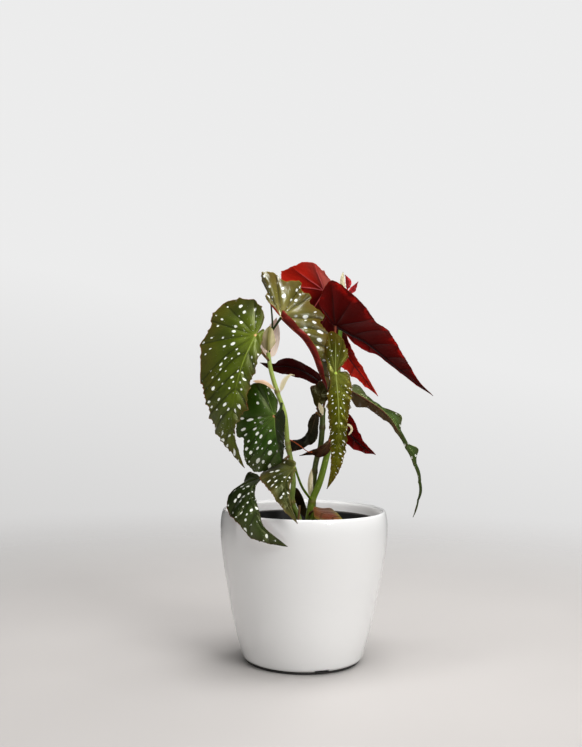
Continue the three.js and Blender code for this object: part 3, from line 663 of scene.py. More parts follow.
# %% The underside
def underside(name, under, under_light, under_vein, margin, under_rib=None, lobe=None,
              painted_edge_glints=None, veins=1.0, narrow=(0.0, 0.0), painted_light_at_ends=None, **_):
    paint = Paint(name + " underside", Specular_IOR_Level=0.3, Specular_Tint=(1, 0.22, 0.2, 1))
    lane, _, share, _, _, to_vein, hub, far, half = stored_facts(paint)
    cloud = paint.noise(20, 3)
    # The underside is lighter towards the margin and in cloudy patches. With painted_light_at_ends
    # it gets painted light at the lobe behind the joint and towards the tip, and stays darker
    # between as painted shade.
    if painted_light_at_ends:
        glow = cloud * 0.6 + share * 0.2 - 0.38
        glow = glow + far.step(*painted_light_at_ends[:2]) * 0.7 + far.step(*painted_light_at_ends[2:]) * 1.3
    else:
        glow = cloud * 0.9 + share * 0.6 - 0.5
    # narrow[1] makes the narrow half lighter or darker: on leaf_back this is painted shade, and on
    # leaf_right the half is lighter.
    body = paint.mix((glow + half * narrow[1]).clamped(), rgb(under), rgb(under_light))
    # Painted highlight: the outer lanes of the broad lobe are painted a lit pink.
    if lobe:
        body = paint.mix(lane.step(-2.2, -4.2) * (0.6 + cloud * 0.4), body, rgb(lobe))
    # Painted highlight: bright red glints in patches near the margin of the broad half.
    if painted_edge_glints:
        patches = share.step(0.75, 1.0) * paint.noise(70, 2).step(0.48, 0.68)
        body = paint.mix(patches * (1 - half), body, rgb(painted_edge_glints))
    shade = to_vein.step(4.5, 0.2) * share.step(1.1, 0.3)
    body = paint.mix(shade * 0.3, body, rgb(under, 0.5))
    vein_colour = paint.mix(hub.step(50, 14), rgb(under_vein), rgb(under_rib or under_vein))
    line = to_vein.step(0.9, 0.15) * share.step(1.05, 0.5)
    body = paint.mix(line * 0.75 * veins, body, vein_colour)
    body = paint.mix(share.step(0.97, 1.0) * 0.6, body, rgb(margin))
    crinkle = paint.noise(300, 3) * 0.5 + fine_net(paint, 320.0, 0.3) * 0.5
    paint.set(Base_Color=body, Roughness=0.4 + 0.14 * cloud,
              Normal=paint.bump(crinkle, 0.0006, 0.3))
    return paint


print("underside ready")

# %% Stalk and midrib, and all four paints of a leaf
def bar_paint(name, colour):
    paint = Paint(name, Specular_IOR_Level=0.2)
    fleck = paint.noise(180, 3)
    paint.set(Base_Color=paint.mix(fleck.step(0.35, 0.7), rgb(colour), rgb(colour, 0.7)),
              Roughness=0.38 + 0.15 * fleck, Normal=paint.bump(fleck, 0.0004, 0.4))
    return paint


def leaf_paints(name, stalk=(120, 90, 50), **look):
    return [upper_side(name, **look), underside(name, **look),
            bar_paint(name + " stalk", stalk), bar_paint(name + " midrib", look["under_vein"])]


print("leaf paints ready")

# %% [markdown]
# ## Colours of each leaf
# No two leaves of the plant have the same colours: they run from olive and deep green through
# maroon to a bleached pink brown. One set of colours for all of them would make the plant look
# stamped from a sheet, and random tints would put them on the wrong leaves. So each leaf has its
# own chart, and what a leaf doesn't name keeps the paint's usual value.

# %% Charts of the leaves
LOOKS = {
    "leaf_left": dict(
        dark=(30, 40, 0), light=(86, 102, 0), brown=(62, 46, 8), vein=(118, 136, 30),
        hub_colour=(206, 150, 104), margin=(120, 62, 30), under=(92, 22, 14),
        under_light=(120, 40, 24), under_vein=(150, 90, 50), hub_glow=0.4, cell=13.0,
        spot_size=0.92),
    "leaf_top": dict(
        dark=(66, 60, 14), light=(130, 124, 48), brown=(92, 66, 18), vein=(190, 176, 110),
        hub_colour=(216, 196, 140), margin=(128, 112, 30), under=(92, 22, 18),
        under_light=(172, 64, 52), under_vein=(140, 40, 26), stalk=(44, 62, 10), gloss=0.05,
        sheen=0.95, spot_size=1.1, keep=0.82, cell=14.0),
    # leaf_back's underside has painted light at its lobe and tip, painted shade on its narrow half,
    # and a pink painted highlight on the outer lanes of its lobe.
    "leaf_back": dict(
        dark=(56, 52, 6), light=(98, 92, 20), vein=(140, 110, 60), hub_colour=(206, 128, 90),
        margin=(214, 96, 76), under=(64, 0, 1), under_light=(212, 40, 24), under_vein=(84, 0, 4),
        under_rib=(222, 96, 100), stalk=(176, 110, 80), veins=0.9, narrow=(0.0, -0.45),
        painted_light_at_ends=(0.06, -0.2, 0.35, 0.75), lobe=(232, 120, 108)),
    # leaf_right's underside is lighter on its narrow half and has painted red glints near the
    # margin.
    "leaf_right": dict(
        dark=(62, 66, 0), light=(88, 92, 6), vein=(140, 130, 60), hub_colour=(206, 128, 90),
        margin=(96, 24, 10), under=(52, 0, 0), under_light=(116, 2, 1), under_vein=(34, 0, 2),
        stalk=(150, 70, 46), narrow=(0.0, 0.55), painted_edge_glints=(196, 20, 10)),
    "leaf_centre": dict(
        dark=(38, 36, 0), light=(86, 88, 0), brown=(78, 50, 4), vein=(146, 156, 84),
        hub_colour=(196, 220, 96), margin=(104, 60, 20), under=(100, 14, 8),
        under_light=(140, 40, 20), under_vein=(160, 90, 50), hub_glow=0.12, gloss=0.24,
        spot_size=0.55, cell=7.5, scatter=0.6, veins=0.3, keep=0.85, sheen=0.2),
    # leaf_low_left's narrow half is painted in shade.
    "leaf_low_left": dict(
        dark=(16, 42, 2), light=(48, 82, 12), brown=(26, 38, 2), vein=(110, 136, 60),
        hub_colour=(196, 130, 90), margin=(60, 50, 16), under=(92, 14, 10),
        under_light=(120, 26, 16), under_vein=(140, 70, 50), spot_size=1.05, keep=0.84,
        narrow=(0.95, 0.0), stalk=(44, 60, 24)),
    "leaf_rim_left": dict(
        dark=(20, 30, 6), light=(54, 70, 24), brown=(24, 26, 4), vein=(80, 92, 44),
        hub_colour=(120, 70, 50), margin=(110, 50, 26), under=(92, 14, 10),
        under_light=(120, 26, 16), under_vein=(140, 70, 50), spot_size=0.8, cell=8.0, keep=0.96),
    "leaf_rim_front": dict(
        dark=(16, 26, 0), light=(58, 62, 12), brown=(96, 84, 42), vein=(112, 112, 56),
        hub_colour=(120, 110, 60), margin=(120, 60, 30), under=(96, 24, 12),
        under_light=(120, 40, 20), under_vein=(140, 80, 50), spot_size=0.66, cell=8.5, keep=0.95,
        stalk=(104, 132, 24), veins=0.5),
    "leaf_dark_high": dict(
        dark=(14, 1, 0), light=(48, 10, 6), brown=(20, 4, 2), vein=(40, 12, 8),
        hub_colour=(100, 40, 30), margin=(60, 8, 6), under=(34, 0, 1), under_light=(58, 4, 4),
        under_vein=(20, 0, 0), shine=0.22, spots=0.0),
    "leaf_small_dark": dict(
        dark=(16, 14, 0), light=(44, 36, 2), brown=(40, 8, 2), vein=(60, 50, 14),
        hub_colour=(110, 50, 30), margin=(140, 6, 6), under=(64, 2, 2), under_light=(96, 6, 4),
        under_vein=(50, 6, 6), shine=0.22, spots=0.0),
    "leaf_twisted": dict(
        dark=(12, 11, 8), light=(38, 34, 28), brown=(34, 10, 6), vein=(70, 52, 38),
        hub_colour=(120, 70, 40), margin=(110, 40, 20), under=(46, 6, 4), under_light=(70, 12, 8),
        under_vein=(60, 16, 10), shine=0.22, gloss=0.22, spots=0.0),
    "leaf_crossing": dict(
        dark=(36, 10, 6), light=(62, 22, 14), brown=(44, 12, 8), vein=(84, 50, 36),
        hub_colour=(120, 60, 40), margin=(90, 20, 12), under=(50, 4, 4), under_light=(72, 10, 8),
        under_vein=(60, 16, 10), shine=0.22, stalk=(196, 88, 34), spots=0.0),
    "leaf_red_low": dict(
        dark=(50, 44, 4), light=(70, 60, 8), vein=(100, 80, 40), hub_colour=(150, 80, 50),
        margin=(120, 10, 6), under=(84, 0, 0), under_light=(156, 4, 3), under_vein=(30, 0, 0)),
    "leaf_drooping": dict(
        dark=(16, 38, 8), light=(76, 98, 38), brown=(50, 46, 8), vein=(140, 150, 84),
        hub_colour=(120, 80, 40), margin=(136, 146, 88), under=(36, 6, 1), under_light=(80, 22, 6),
        under_vein=(90, 50, 26), spots=0.8, spot_size=0.8, cell=8.0, veins=0.5, narrow=(0.9, 0.0),
        narrow_colour=(58, 16, 10), narrow_end=0.38),
    "leaf_pot_right": dict(
        dark=(76, 22, 12), light=(146, 78, 54), brown=(126, 122, 40), vein=(140, 90, 50),
        hub_colour=(130, 70, 40), margin=(132, 126, 44), under=(50, 10, 6),
        under_light=(80, 26, 14), under_vein=(100, 50, 30), spots=0.3, spot_size=0.5, gloss=0.24),
    "leaf_pot_back": dict(
        dark=(22, 16, 4), light=(42, 28, 8), brown=(30, 8, 4), vein=(60, 40, 20),
        hub_colour=(90, 50, 30), margin=(70, 16, 8), under=(40, 4, 2), under_light=(60, 10, 6),
        under_vein=(50, 20, 12), spots=0.0),
}
print("looks for", len(LOOKS), "leaves")

# %% [markdown]
# ## The sixteen leaves
# The values of each leaf are the ones that its solid in the frame was made from: the midrib in
# space, the flat outlines of the wide and the narrow half, where the upper side looks, fold and
# curl, and the stalk's points up to the joint. Only `leaf_low_left`, with a notch, and the ends of
# `leaf_dark_high` are corrected here. `lanes` adds how many quilted lanes the broad lobe, the
# narrow lobe and the midrib have.

# %% Midribs and outlines
LEAVES = {
    "leaf_left": dict(
        fold=(4, 12), curl=(8, 20), rows=(13, 4, 17), lanes=(6, 2, 7), slope=1.35,
        face=((-0.3, -0.9, 0.3), (-0.3, -0.95, 0.15)),
        rib=((-55, -34, 422), (-63, -42, 405), (-78, -60, 368), (-87, -76, 324), (-89, -78, 291),
             (-73, -70, 245)),
        wide=((-2, -18), (8, -38), (31, -49), (63, -44), (76, -20), (68, -4), (68, 21), (61, 44),
              (39, 90), (22, 121), (9, 152)),
        narrow=((6, -11), (14, 17), (19, 45), (15, 68), (17, 94), (5, 126), (1, 151)),
        stalk=((-46, -7, 374), (-56, -24, 386))),
    "leaf_top": dict(
        side=-1, fold=(2, -140), curl=(10, -10), rows=(28, 3, 12), lanes=(6, 1, 5), tooth=1.4,
        fine_tooth=1.0, quilt=2.4, ruffle=3.0,
        face=((0.1, -0.93, 0.35), (0.3, -0.9, 0.25)),
        rib=((-40, -10, 440), (-32, -16, 429), (-18, -22, 415), (-4, -25, 402), (8, -24, 383),
             (16, -19, 362), (27, -10, 338)),
        wide=((1, -14), (-1, -25), (-1, -37), (5, -42), (9, -61), (14, -69), (27, -62), (33, -47),
              (53, -39), (47, -28), (45, -18), (50, -12), (43, 8), (46, 33), (33, 38), (32, 56),
              (18, 65), (19, 79), (12, 99)),
        narrow=((8, -5), (8, 10), (7, 40), (7, 70), (4, 95)),
        stalk=((-47, -8, 383), (-45, -5, 407), (-38, -10, 420)),
        shoot=((-47, -8, 383), (-43, -7, 416), (-45, -6, 446))),
    "leaf_back": dict(
        side=-1, fold=(4, 8), rows=(13, 3, 17), lanes=(5, 1, 6), tooth=3.0,
        face=((0.1, 0.9, 0.4), (0.2, 0.95, 0.3)),
        rib=((8, 40, 492), (23, 44, 468), (40, 58, 424), (54, 74, 389), (77, 90, 359),
             (101, 104, 330)),
        wide=((-8, -4), (-13, -12), (-10, -33), (3, -46), (21, -49), (38, -49), (42, -27), (39, 16),
              (26, 63), (16, 107), (7, 143)),
        narrow=((6, 4), (10, 27), (10, 66), (10, 96), (6, 131)),
        stalk=((50, 36, 464), (37, 42, 464))),
    "leaf_right": dict(
        fold=(3, 10), curl=(8, 10), rows=(12, 4, 17), lanes=(5, 2, 6), tooth=1.3, fine_tooth=0.3,
        quilt=1.1,
        face=((0.1, 0.85, 0.5), (0.2, 0.92, 0.35)),
        rib=((24, 12, 428), (37, 16, 421), (57, 26, 411), (80, 38, 400), (112, 56, 376),
             (137, 68, 358), (172, 74, 332)),
        wide=((0, -8), (8, -24), (24, -39), (54, -42), (54, -16), (46, 14), (34, 41), (33, 56),
              (20, 102), (4, 146)),
        narrow=((3, 18), (8, 33), (10, 56), (4, 79), (3, 103), (3, 136), (2, 154)),
        stalk=((41, 10, 370), (37, 9, 396))),
    "leaf_centre": dict(
        fold=(20, 16), curl=(15, 16), rows=(16, 4, 15), lanes=(6, 2, 10), tooth=2.8,
        face=((0, -0.93, 0.35), (0.1, -1, 0)),
        rib=((36, -33, 379), (36, -41, 360), (39, -54, 321), (39, -62, 279), (34, -66, 246),
             (26, -66, 221)),
        wide=((-6, -7), (-13, -15), (-16, -25), (-8, -45), (6, -57), (13, -40), (12, -15), (8, 9),
              (14, 36), (10, 85), (4, 119)),
        narrow=((10, -3), (18, -1), (19, 21), (12, 60), (11, 90), (8, 119)),
        stalk=((42, 7, 332), (40, -18, 345))),
    "leaf_low_left": dict(
        fold=(5, 55), curl=(8, 20), rows=(12, 4, 11), lanes=(5, 2, 4), tooth=1.6,
        face=((-0.2, -0.9, 0.35), (-0.1, -0.98, 0.1)),
        rib=((-44, -28, 321), (-39, -34, 306), (-37, -46, 287), (-33, -54, 268), (-28, -52, 251)),
        wide=((-6, -7), (-10, -20), (-2, -42), (17, -50), (42, -28), (50, -6), (51, 13), (42, 20),
              (44, 36), (43, 55), (33, 66), (14, 65)),
        narrow=((13, -9), (22, -7), (18, 12), (11, 45)),
        stalk=((-30, -5, 322), (-32, -20, 313))),
    "leaf_rim_left": dict(
        fold=(5, 20), curl=(10, 20), rows=(6, 3, 14), lanes=(2, 1, 5), tooth=1.8,
        face=((-0.4, -0.6, 0.7), (-0.1, -1, 0.1)),
        rib=((-51, -28, 238), (-55, -34, 231), (-65, -62, 218), (-60, -96, 201), (-49, -108, 180),
             (-20, -112, 159)),
        wide=((8, -5), (26, -6), (22, 10), (31, 30), (33, 52), (21, 89), (11, 112)),
        narrow=((4, 10), (5, 42), (5, 75), (2, 99), (1, 120)),
        stalk=((-19, -2, 256), (-36, -19, 243))),
    "leaf_rim_front": dict(
        rows=(6, 2, 11), lanes=(2, 1, 4), tooth=1.8,
        face=((-0.35, -0.65, 0.65), (0, -0.97, 0.2)),
        rib=((-8, -52, 255), (-13, -58, 246), (-24, -88, 231), (-20, -112, 209), (-9, -116, 186)),
        wide=((3, -8), (24, -8), (42, -4), (41, 15), (21, 41), (9, 70)),
        narrow=((4, 6), (7, 33), (3, 66), (1, 83)),
        stalk=((10, 4, 198), (-3, -24, 218))),
    "leaf_dark_high": dict(
        side=-1, rows=(4, 2, 12), lanes=(2, 1, 4),
        face=((0, 0.9, 0.45),),
        rib=((25, 46, 336), (19, 50, 349), (-7, 56, 365), (-26, 56, 369), (-43, 50, 369),
             (-60, 42, 373)),
        wide=((8, 1), (9, 14), (12, 40), (12, 54), (10, 62), (4, 66), (3, 74)),
        narrow=((5, 0), (10, 21), (12, 47), (8, 64)),
        stalk=((22, 14, 312), (26, 36, 331))),
    "leaf_small_dark": dict(
        side=-1, rows=(5, 3, 6), lanes=(2, 1, 2),
        face=((-0.2, -0.85, 0.5), (-0.2, -0.9, 0.3)),
        rib=((14, 14, 308), (15, 17, 316), (19, 24, 329), (25, 30, 341), (31, 34, 354)),
        wide=((4, 4), (10, 14), (18, 23), (16, 29), (9, 37)),
        narrow=((4, 4), (11, 20), (7, 36)),
        stalk=((22, 14, 304), (18, 19, 309))),
    "leaf_twisted": dict(
        fold=(5, 20), rows=(3, 3, 13), lanes=(1, 1, 5),
        face=((0.3, -0.7, 0.5), (-0.1, -0.7, 0.7)),
        rib=((17, 6, 318), (14, 5, 310), (11, 2, 298), (6, 4, 283), (-2, 12, 272), (-26, 22, 262)),
        wide=((4, 4), (7, 15), (4, 28), (8, 46), (11, 62)),
        narrow=((5, 2), (8, 17), (11, 34), (7, 43), (8, 60)),
        stalk=((22, 14, 303), (18, 9, 306))),
    "leaf_crossing": dict(
        rows=(2, 3, 9), lanes=(1, 1, 4), shoot_size=(0.8, 0.5),
        face=((0, -0.9, -0.3),),
        rib=((36, -6, 285), (31, -12, 275), (21, -14, 264), (9, -14, 261), (-7, -10, 256)),
        wide=((3, 2), (5, 15), (3, 26)),
        narrow=((7, 6), (10, 18), (4, 29)),
        stalk=((37, 6, 292), (36, -5, 286)),
        shoot=((-20, 3, 275), (-16, -2, 274), (-12, -9, 272), (-4, -15, 267), (3, -17, 262),
               (9, -14, 261))),
    "leaf_red_low": dict(
        rows=(4, 3, 9), lanes=(2, 1, 4), tooth=0.4, fine_tooth=0.2,
        face=((0.2, 0.8, 0.6), (0.2, 0.85, 0.5)),
        rib=((39, 16, 316), (47, 20, 303), (60, 32, 281), (74, 38, 267), (93, 40, 255)),
        wide=((8, -5), (13, -1), (13, 26), (6, 52)),
        narrow=((7, 10), (15, 30), (11, 43), (7, 58)),
        stalk=((37, 6, 290), (41, 12, 297))),
    "leaf_drooping": dict(
        side=-1, fold=(0, 85), fold_at_tip=(0, 30), rows=(4, 3, 24), lanes=(2, 1, 8), tooth=1.0,
        fine_tooth=0.3,
        face=((0.4, -0.4, 0.8), (0.6, -0.7, 0.35), (0.5, -0.85, 0)),
        rib=((50, 4, 342), (59, 0, 338), (77, -10, 328), (100, -20, 311), (117, -26, 287),
             (136, -24, 252), (144, -16, 216), (137, -6, 180)),
        wide=((16, -8), (25, -3), (11, 18), (3, 42), (10, 53), (20, 66), (4, 82), (3, 100),
              (13, 113), (3, 124), (2, 156)),
        narrow=((10, 0), (14, 15), (10, 30), (12, 47), (5, 67), (4, 103)),
        stalk=((42, 7, 324), (50, 3, 331))),
    "leaf_pot_right": dict(
        side=-1, rows=(4, 3, 8), lanes=(2, 1, 3), tooth=0.1, fine_tooth=0.1, ruffle=0.6,
        face=((0.1, -0.6, 0.8), (0.2, -0.6, 0.75)),
        rib=((5, -6, 193), (12, -14, 189), (24, -34, 187), (37, -50, 184), (50, -58, 177)),
        wide=((5, -6), (12, 1), (19, 10), (11, 38)),
        narrow=((11, 18), (13, 38), (7, 51)),
        stalk=((6, 4, 179), (8, -4, 184))),
    "leaf_pot_back": dict(
        side=-1, rows=(2, 2, 8), lanes=(1, 1, 3),
        face=((-0.1, -0.85, 0.5), (-0.1, -0.9, 0.4)),
        rib=((-14, 8, 221), (-12, 14, 214), (-6, 26, 200), (-1, 32, 186), (3, 32, 172)),
        wide=((3, 7), (4, 22), (4, 35), (4, 47)),
        narrow=((5, 6), (7, 22), (6, 40)),
        stalk=((-15, 0, 199), (-18, 6, 209))),
}
print("leaves:", len(LEAVES))

# %% Make the leaves
LEAVES_OF_SLOT = {
    "leaf_olive": ("leaf_left", "leaf_top", "leaf_centre"),
    "leaf_dark": ("leaf_low_left", "leaf_rim_left", "leaf_rim_front", "leaf_drooping"),
    "leaf_crimson": ("leaf_back", "leaf_right", "leaf_red_low"),
    "leaf_maroon": ("leaf_small_dark", "leaf_crossing", "leaf_pot_back", "leaf_twisted",
                    "leaf_dark_high", "leaf_pot_right"),
}
SLOT_OF_LEAF = {leaf: slot for slot, leaves in LEAVES_OF_SLOT.items() for leaf in leaves}
SMALL_LEAF = {"quilt": 0.5, "tooth": 0.8, "fine_tooth": 0.3}
for number, (name, spec) in enumerate(LEAVES.items()):
    small = SLOT_OF_LEAF[name] == "leaf_maroon"
    spec = {"quilt": 1.7, "seed": number, **(SMALL_LEAF if small else {}), **spec}
    paints = leaf_paints(name, shift=number * 3.7, **LOOKS[name])
    midrib = 0.9 if small or name == "leaf_low_left" else 1.3
    build_leaf(name, spec, SLOT_OF_LEAF[name], paints, midrib)
print("leaves made:", len(LEAVES))

# %% [markdown]
# ## Papery stipules and the young shoot
# Where a leaf grew, the cane carries a stipule: a dry, cream, boat-shaped scale. It is a leaf
# without quilting on a very short stalk, so the same blade makes it, with small teeth and few
# lanes. Its paint has fine veins that run its length and an olive keel. The two crimson leaves on
# the tall cane have only just opened and are still crinkled.

# %% Small blades
SMALL_BLADES = {
    "stipule_tip_front": dict(
        fold=(35, 35), curl=(40, 40),
        face=((0, -1, 0),),
        rib=((-48, -11, 380), (-48, -13.5, 387), (-48, -16, 400), (-46, -13, 418)),
        wide=((7, 3), (12, 12), (6, 27)),
        stalk=((-48, -8, 383),)),
    "stipule_tip_back": dict(
        fold=(-10, -10), curl=(-30, -30), rows=(2, 2, 8),
        face=((0, -1, 0),),
        rib=((-48, 1, 372), (-48, 0, 379), (-46, 4, 398), (-38, 4, 430)),
        wide=((9, 4), (12, 20), (9, 36)),
        narrow=((8, 6), (11, 22), (6, 40)),
        stalk=((-48, -8, 381),)),
    "stipule_low_left": dict(
        fold=(10, 10), curl=(20, 20), rows=(2, 2, 6),
        face=((0, -0.7, 0.7),),
        rib=((-32, -3, 334), (-40, -8, 340), (-52, -9, 346), (-66, -8, 349)),
        wide=((3, 5), (6, 14), (4, 22)),
        narrow=((3, 5), (4, 14), (3, 22)),
        stalk=((-36, -5, 338),)),
    "stipule_low_right": dict(
        side=-1, fold=(15, 15),
        face=((0.3, -0.9, 0), (0.1, -0.9, 0.2)),
        rib=((-33, -5, 330), (-31, -5, 337), (-26, -5, 350), (-20, -3, 357), (-14, -1, 357)),
        wide=((3, 3), (4, 12), (1.5, 22)),
        narrow=((2, 3), (2.5, 12), (1.5, 22)),
        stalk=((-36, -5, 336),)),
    "stipule_foot": dict(
        fold=(25, 25), curl=(40, 40),
        face=((-0.4, -0.9, 0),),
        rib=((9, 9, 198), (8, 9, 203), (7, 8, 220), (9, 10, 238)),
        wide=((3.5, 4), (4, 16), (3, 26)),
        stalk=((12, 15, 203),)),
    "stipule_curled": dict(
        fold=(10, 10), curl=(30, 30),
        face=((0, -1, 0),),
        rib=((38, 4, 294), (45, 1, 294), (55, 0, 295), (59, 0, 289), (55, 0, 282)),
        wide=((1, 3), (1.4, 14), (0.9, 24)),
        stalk=((38, 6, 293),)),
    "stipule_small": dict(
        fold=(10, 10), curl=(30, 30), rows=(2, 2, 5),
        face=((0, -1, 0.2),),
        rib=((24, 9, 303), (22, 8, 308), (20, 8, 315), (17, 8, 322)),
        wide=((2, 2), (3, 8), (1.5, 13)),
        stalk=((22, 14, 308),)),
    "stipule_shoot": dict(
        fold=(20, 20), curl=(40, 40), rows=(2, 2, 6),
        face=((-0.2, -1, 0),),
        rib=((48, 30, 461), (48, 30, 467), (46, 30, 479), (47, 32, 492)),
        wide=((3, 4), (3.5, 12), (2, 20)),
        stalk=((50, 36, 466),)),
    "young_leaf_upright": dict(
        fold=(30, 30), curl=(30, 30), rows=(2, 2, 6),
        face=((-0.3, -0.9, 0.2), (0.3, -0.9, 0.2)),
        rib=((52, 38, 464), (53, 37, 470), (54, 35, 480), (50, 33, 488)),
        wide=((3, 3), (5, 9), (3, 15)),
        narrow=((3, 3), (4, 9), (2, 15)),
        stalk=((50, 36, 466),)),
    "young_leaf_side": dict(
        fold=(30, 30), curl=(30, 30), rows=(2, 2, 6),
        face=((0, -0.9, 0.4),),
        rib=((50, 42, 460), (54, 43, 464), (60, 42, 471), (67, 40, 480)),
        wide=((3, 3), (5, 9), (3, 15)),
        narrow=((3, 3), (4, 9), (2, 15)),
        stalk=((50, 36, 462),)),
}
print("small blades:", len(SMALL_BLADES))

# %% Paint and make the small blades
# The last number is the strength of a painted glow: the paper emits light, standing in for light
# shining through the thin scale.
PAPERS = {   # colour of the edge, of the keel and of the fine veins; how much light shines through
    "papery stipule": ((250, 238, 220), (226, 218, 176), (214, 166, 136), 0.14),
    "tip sheath": ((206, 196, 150), (128, 126, 58), (190, 160, 110), 0.02),
    "tip flap": ((255, 236, 220), (250, 222, 204), (236, 180, 160), 0.16),
    "tan stipule": ((246, 212, 190), (214, 180, 140), (214, 170, 142), 0.12),
    "young crimson leaf": ((226, 44, 54), (170, 10, 22), (96, 4, 10), 0.05),
}
PAPER_OF = {"stipule_tip_front": "tip sheath", "stipule_tip_back": "tip flap",
            "stipule_low_left": "tan stipule"}
STIPULE = {"tooth": 0.4, "fine_tooth": 0.2, "ruffle": 0.5, "quilt": 0.2, "stalk_size": 0.72}
YOUNG_LEAF = {**STIPULE, "ruffle": 2.2, "quilt": 1.6}


def paper_paint(name, edge, keel, lines, painted_glow):
    # Painted glow: the paper emits its own colour.
    paint = Paint(name, Coat_Weight=0.05, Emission_Strength=painted_glow)
    _, _, share = paint.attribute("vein")
    _, out, _ = paint.attribute("size")
    cloud = paint.noise(120, 4)
    stripe = (share * 26 + cloud * 2).math("SINE") * 0.5 + 0.5
    body = paint.mix(out.step(5.5, 0.5), rgb(edge), rgb(keel))
    body = paint.mix(stripe * 0.35 * cloud, body, rgb(lines))
    paint.set(Base_Color=body, Emission_Color=body, Roughness=0.55 + 0.2 * cloud,
              Normal=paint.bump(stripe + cloud, 0.0004, 0.5))
    return paint


paper = {name: paper_paint(name, *values) for name, values in PAPERS.items()}
for name, spec in SMALL_BLADES.items():
    slot, kind, shape = "stipule_cream", PAPER_OF.get(name, "papery stipule"), STIPULE
    if name.startswith("young"):
        slot, kind, shape = "leaf_crimson", "young crimson leaf", YOUNG_LEAF
    spec = {"rows": (2, 2, 7), "lanes": (1, 1, 3), **spec, **shape}
    build_leaf(name, spec, slot, [paper[kind]] * 4, 0.6)
print("stipules made:", len(SMALL_BLADES))

# %% [markdown]
# ## Canes
# A cane is smooth between swollen rings, and each ring is the scar of a leaf that has dropped. A
# plain cylinder would lose both, so the bar's radius swells at the heights of the scars. The skin
# blends from one colour low on the cane to another higher up and is browner at the scars, with pale
# corky pores drawn out along it.

# %% Cane shapes
CANES = {    # colours: low, high, at the scars, and of the pores
    "cane_left": dict(
        points=((-6, 0, 120), (-6, 0, 155), (-6, 0, 175), (-15, 0, 197), (-14, 0, 222),
                (-17, -1, 247), (-22, -2, 271), (-26, -4, 307), (-36, -5, 336), (-44, -6, 362),
                (-48, -8, 385)),
        radius=(3.6, 2.7), rings=(197, 263, 271, 336), slot="cane_green",
        colours=((92, 114, 30), (170, 190, 92), (126, 96, 46), (176, 180, 110))),
    "cane_right": dict(
        points=((5, 4, 120), (5, 4, 155), (6, 4, 175), (10, 4, 198), (20, 4, 224), (30, 5, 264),
                (38, 6, 294), (42, 7, 332), (41, 11, 377), (45, 31, 423), (50, 36, 470)),
        radius=(4.9, 2.4), rings=(198, 264, 294, 332, 370), slot="cane_green",
        colours=((112, 132, 30), (84, 116, 4), (112, 100, 40), (156, 166, 80))),
    "cane_thin": dict(
        points=((12, 15, 120), (12, 15, 153), (12, 15, 172), (12, 15, 200), (13, 15, 234),
                (16, 14, 253), (20, 14, 266), (22, 13, 291), (22, 14, 316)),
        radius=(3.3, 3.6), rings=(234, 291, 313), slot="cane_brown",
        colours=((78, 84, 24), (64, 80, 18), (70, 48, 22), (130, 126, 70))),
    "stub_stalk": dict(
        points=((-7, -14, 140), (-7, -14, 165), (-7, -14, 176), (-6, -14, 194)),
        radius=(1.7, 1.4), rings=(), slot="cane_brown",
        colours=((118, 88, 52), (142, 112, 70), (70, 44, 24), (160, 130, 90))),
}
CANE_STEP, CANE_SIDES = 1.2, 24
SWELL, GROOVE = 0.9, 0.35       # how far a ring stands out, and the groove just above it


def cane_path(cane):
    """The cane's middle line, its radius, and 1 at a scar falling to 0 beside it."""
    length = np.linalg.norm(np.diff(cane["points"], axis=0), axis=1).sum()
    path = even(cane["points"], int(length / CANE_STEP))
    radius = np.linspace(*cane["radius"], len(path))
    scar = np.zeros(len(path))
    for height in cane["rings"]:
        ring = np.exp(-((path[:, 2] - height) / 3) ** 2)
        radius = radius + SWELL * ring - GROOVE * np.exp(-((path[:, 2] - height - 1) / 0.8) ** 2)
        scar = np.maximum(scar, ring)
    return path, radius, scar


def cane_paint(name, low, high, scar_colour, pore):
    paint = Paint(name, Specular_IOR_Level=0.4)
    scar, height, _ = paint.attribute("cane")
    grain = paint.noise(90, 4)
    body = paint.mix(height + (grain - 0.5) * 0.7, rgb(low), rgb(high))
    drawn_out = paint.node("ShaderNodeMapping", None,
                           {"Vector": paint.place(), "Scale": (1, 1, 0.35)})
    dot = paint.cells(drawn_out, 330.0).step(0.24, 0.12)
    body = paint.mix(dot * 0.6, body, rgb(pore))
    body = paint.mix((scar * 1.3 * grain).clamped(), body, rgb(scar_colour))
    paint.set(Base_Color=body, Roughness=0.34 + 0.2 * grain,
              Normal=paint.bump(dot + grain, 0.0004, 0.5))
    return paint


for name, cane in CANES.items():
    path, radius, scar = cane_path(cane)
    height = np.clip((path[:, 2] - 170) / 150, 0, 1)
    fact = np.repeat(np.stack([scar, height, height], 1), CANE_SIDES, axis=0)
    piece = make_piece(name + "_skin", *bar(path, radius, CANE_SIDES), name, cane["slot"],
                       [cane_paint(name, *cane["colours"])], None, {"cane": fact})
    sharpen(piece, 60)
print("canes made:", len(CANES))

# %% [markdown]
# ## The planter
# The planter is a turned body: a straight slanting wall that rolls over into a rounded rim. A
# polished surface shows every flat facet, so the profile runs through a smooth curve and is
# turned in 192 steps. The drain slot at the foot and the two small grip holes are cut by booleans.

# %% Turned bodies and cuts
def turned(profile, steps=192):
    """A closed body from (radius, height) points that start and end on the axis."""
    ring, inner = circle(steps), profile[1:-1]
    points = [np.array([[0, 0, profile[0][1]]])]
    points += [np.column_stack([ring * r, np.full(steps, z)]) for r, z in inner]
    points.append(np.array([[0, 0, profile[-1][1]]]))
    faces, last = [], 1 + steps * len(inner)
    for k in range(steps):
        n = (k + 1) % steps
        faces.append([0, 1 + n, 1 + k])
        for a in range(1, last - steps, steps):
            faces.append([a + k, a + n, a + n + steps, a + k + steps])
        faces.append([last - steps + k, last - steps + n, last])
    return np.vstack(points), faces


